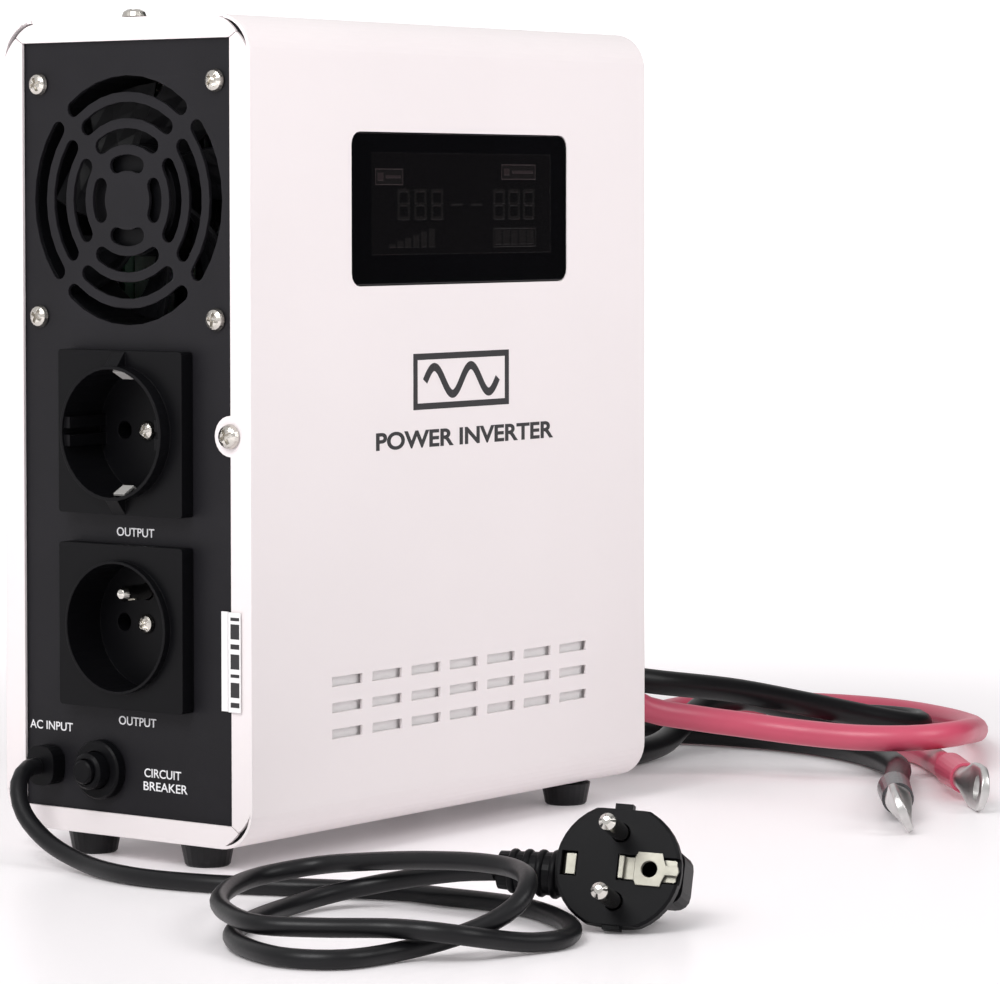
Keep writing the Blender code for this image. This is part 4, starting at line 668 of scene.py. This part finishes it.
bright = outline_of(0.0598, -0.0509, 0.0738, -0.0457, 0.0004) + outline_of(0.1248, -0.0490, 0.1433, -0.0440, 0.0004)
bright += [rectangle(0.0610, -0.0496, 0.0640, -0.0470), rectangle(0.0650, -0.0488, 0.0728, -0.0478),
           rectangle(0.1262, -0.0476, 0.1292, -0.0454), rectangle(0.1305, -0.0470, 0.1420, -0.0460)]
flat_faces("lcd_boxes", bright, GLASS, ALONG, UP, 0.00006, GLASS_BRIGHT)

# ---------------------------------------------------------------- stage

scene = bpy.context.scene
scene.view_settings.view_transform = "Standard"
floor_mesh = bpy.data.meshes.new("floor")
bm = bmesh.new()
bmesh.ops.create_circle(bm, cap_ends=True, segments=96, radius=2.6)
bm.to_mesh(floor_mesh)
bm.free()
floor = bpy.data.objects.new("floor", floor_mesh)
# Painted light: the floor glows, faintly near the case and nearly white further out, its emission rising with distance
# from the origin.
floor_mesh.materials.append(material(
    "pale_glowing_floor", (0.93, 0.90, 0.915), 0.35, specular=0.3, grain=300.0, bump=0.02, tint=0.01, blotch=4.0))
glow = floor_mesh.materials[0].node_tree.nodes["Principled BSDF"]
glow.inputs["Emission Color"].default_value = (1.0, 0.97, 0.985, 1)
nodes, links = floor_mesh.materials[0].node_tree.nodes, floor_mesh.materials[0].node_tree.links
spot = nodes.new("ShaderNodeTexCoord")
reach = nodes.new("ShaderNodeVectorMath")
reach.operation = "LENGTH"
links.new(spot.outputs["Object"], reach.inputs[0])
rise = nodes.new("ShaderNodeMapRange")
rise.interpolation_type = "SMOOTHSTEP"
rise.inputs["From Min"].default_value = 0.25
rise.inputs["From Max"].default_value = 1.1
rise.inputs["To Min"].default_value = 0.06
rise.inputs["To Max"].default_value = 0.9
links.new(reach.outputs["Value"], rise.inputs["Value"])
links.new(rise.outputs["Result"], glow.inputs["Emission Strength"])
scene.collection.objects.link(floor)

world = bpy.data.worlds.new("studio")
scene.world = world
world.use_nodes = True
nodes, links = world.node_tree.nodes, world.node_tree.links
background = nodes["Background"]
coords = nodes.new("ShaderNodeTexCoord")
facing = nodes.new("ShaderNodeVectorMath")
facing.operation = "DOT_PRODUCT"
facing.inputs[1].default_value = (0.80, -0.598, -0.05)
links.new(coords.outputs["Generated"], facing.inputs[0])
shade = nodes.new("ShaderNodeMapRange")
shade.interpolation_type = "SMOOTHSTEP"
shade.inputs["From Min"].default_value = 0.25
shade.inputs["From Max"].default_value = 0.85
shade.inputs["To Min"].default_value = 0.72
shade.inputs["To Max"].default_value = 0.04
links.new(facing.outputs["Value"], shade.inputs["Value"])
path = nodes.new("ShaderNodeLightPath")
level = nodes.new("ShaderNodeMix")
level.data_type = "FLOAT"
links.new(path.outputs["Is Camera Ray"], level.inputs["Factor"])
links.new(shade.outputs["Result"], level.inputs["A"])
level.inputs["B"].default_value = 1.2
background.inputs["Color"].default_value = (1.0, 0.99, 0.995, 1)
links.new(level.outputs["Result"], background.inputs["Strength"])


def area_light(name, place, target, size, power, colour=(1, 1, 1)):
    data = bpy.data.lights.new(name, "AREA")
    data.shape = "DISK"
    data.size = size
    data.energy = power
    data.color = colour
    light = bpy.data.objects.new(name, data)
    light.location = place
    light.rotation_mode = "QUATERNION"
    light.rotation_quaternion = (Vector(target) - Vector(place)).to_track_quat("-Z", "Y")
    scene.collection.objects.link(light)
    return light


area_light("key", (-1.5, -0.3, 1.4), (0, 0, 0.1), 1.0, 22.0)
area_light("front", (0.35, -1.8, 1.3), (0, 0, 0.1), 1.2, 14.0)
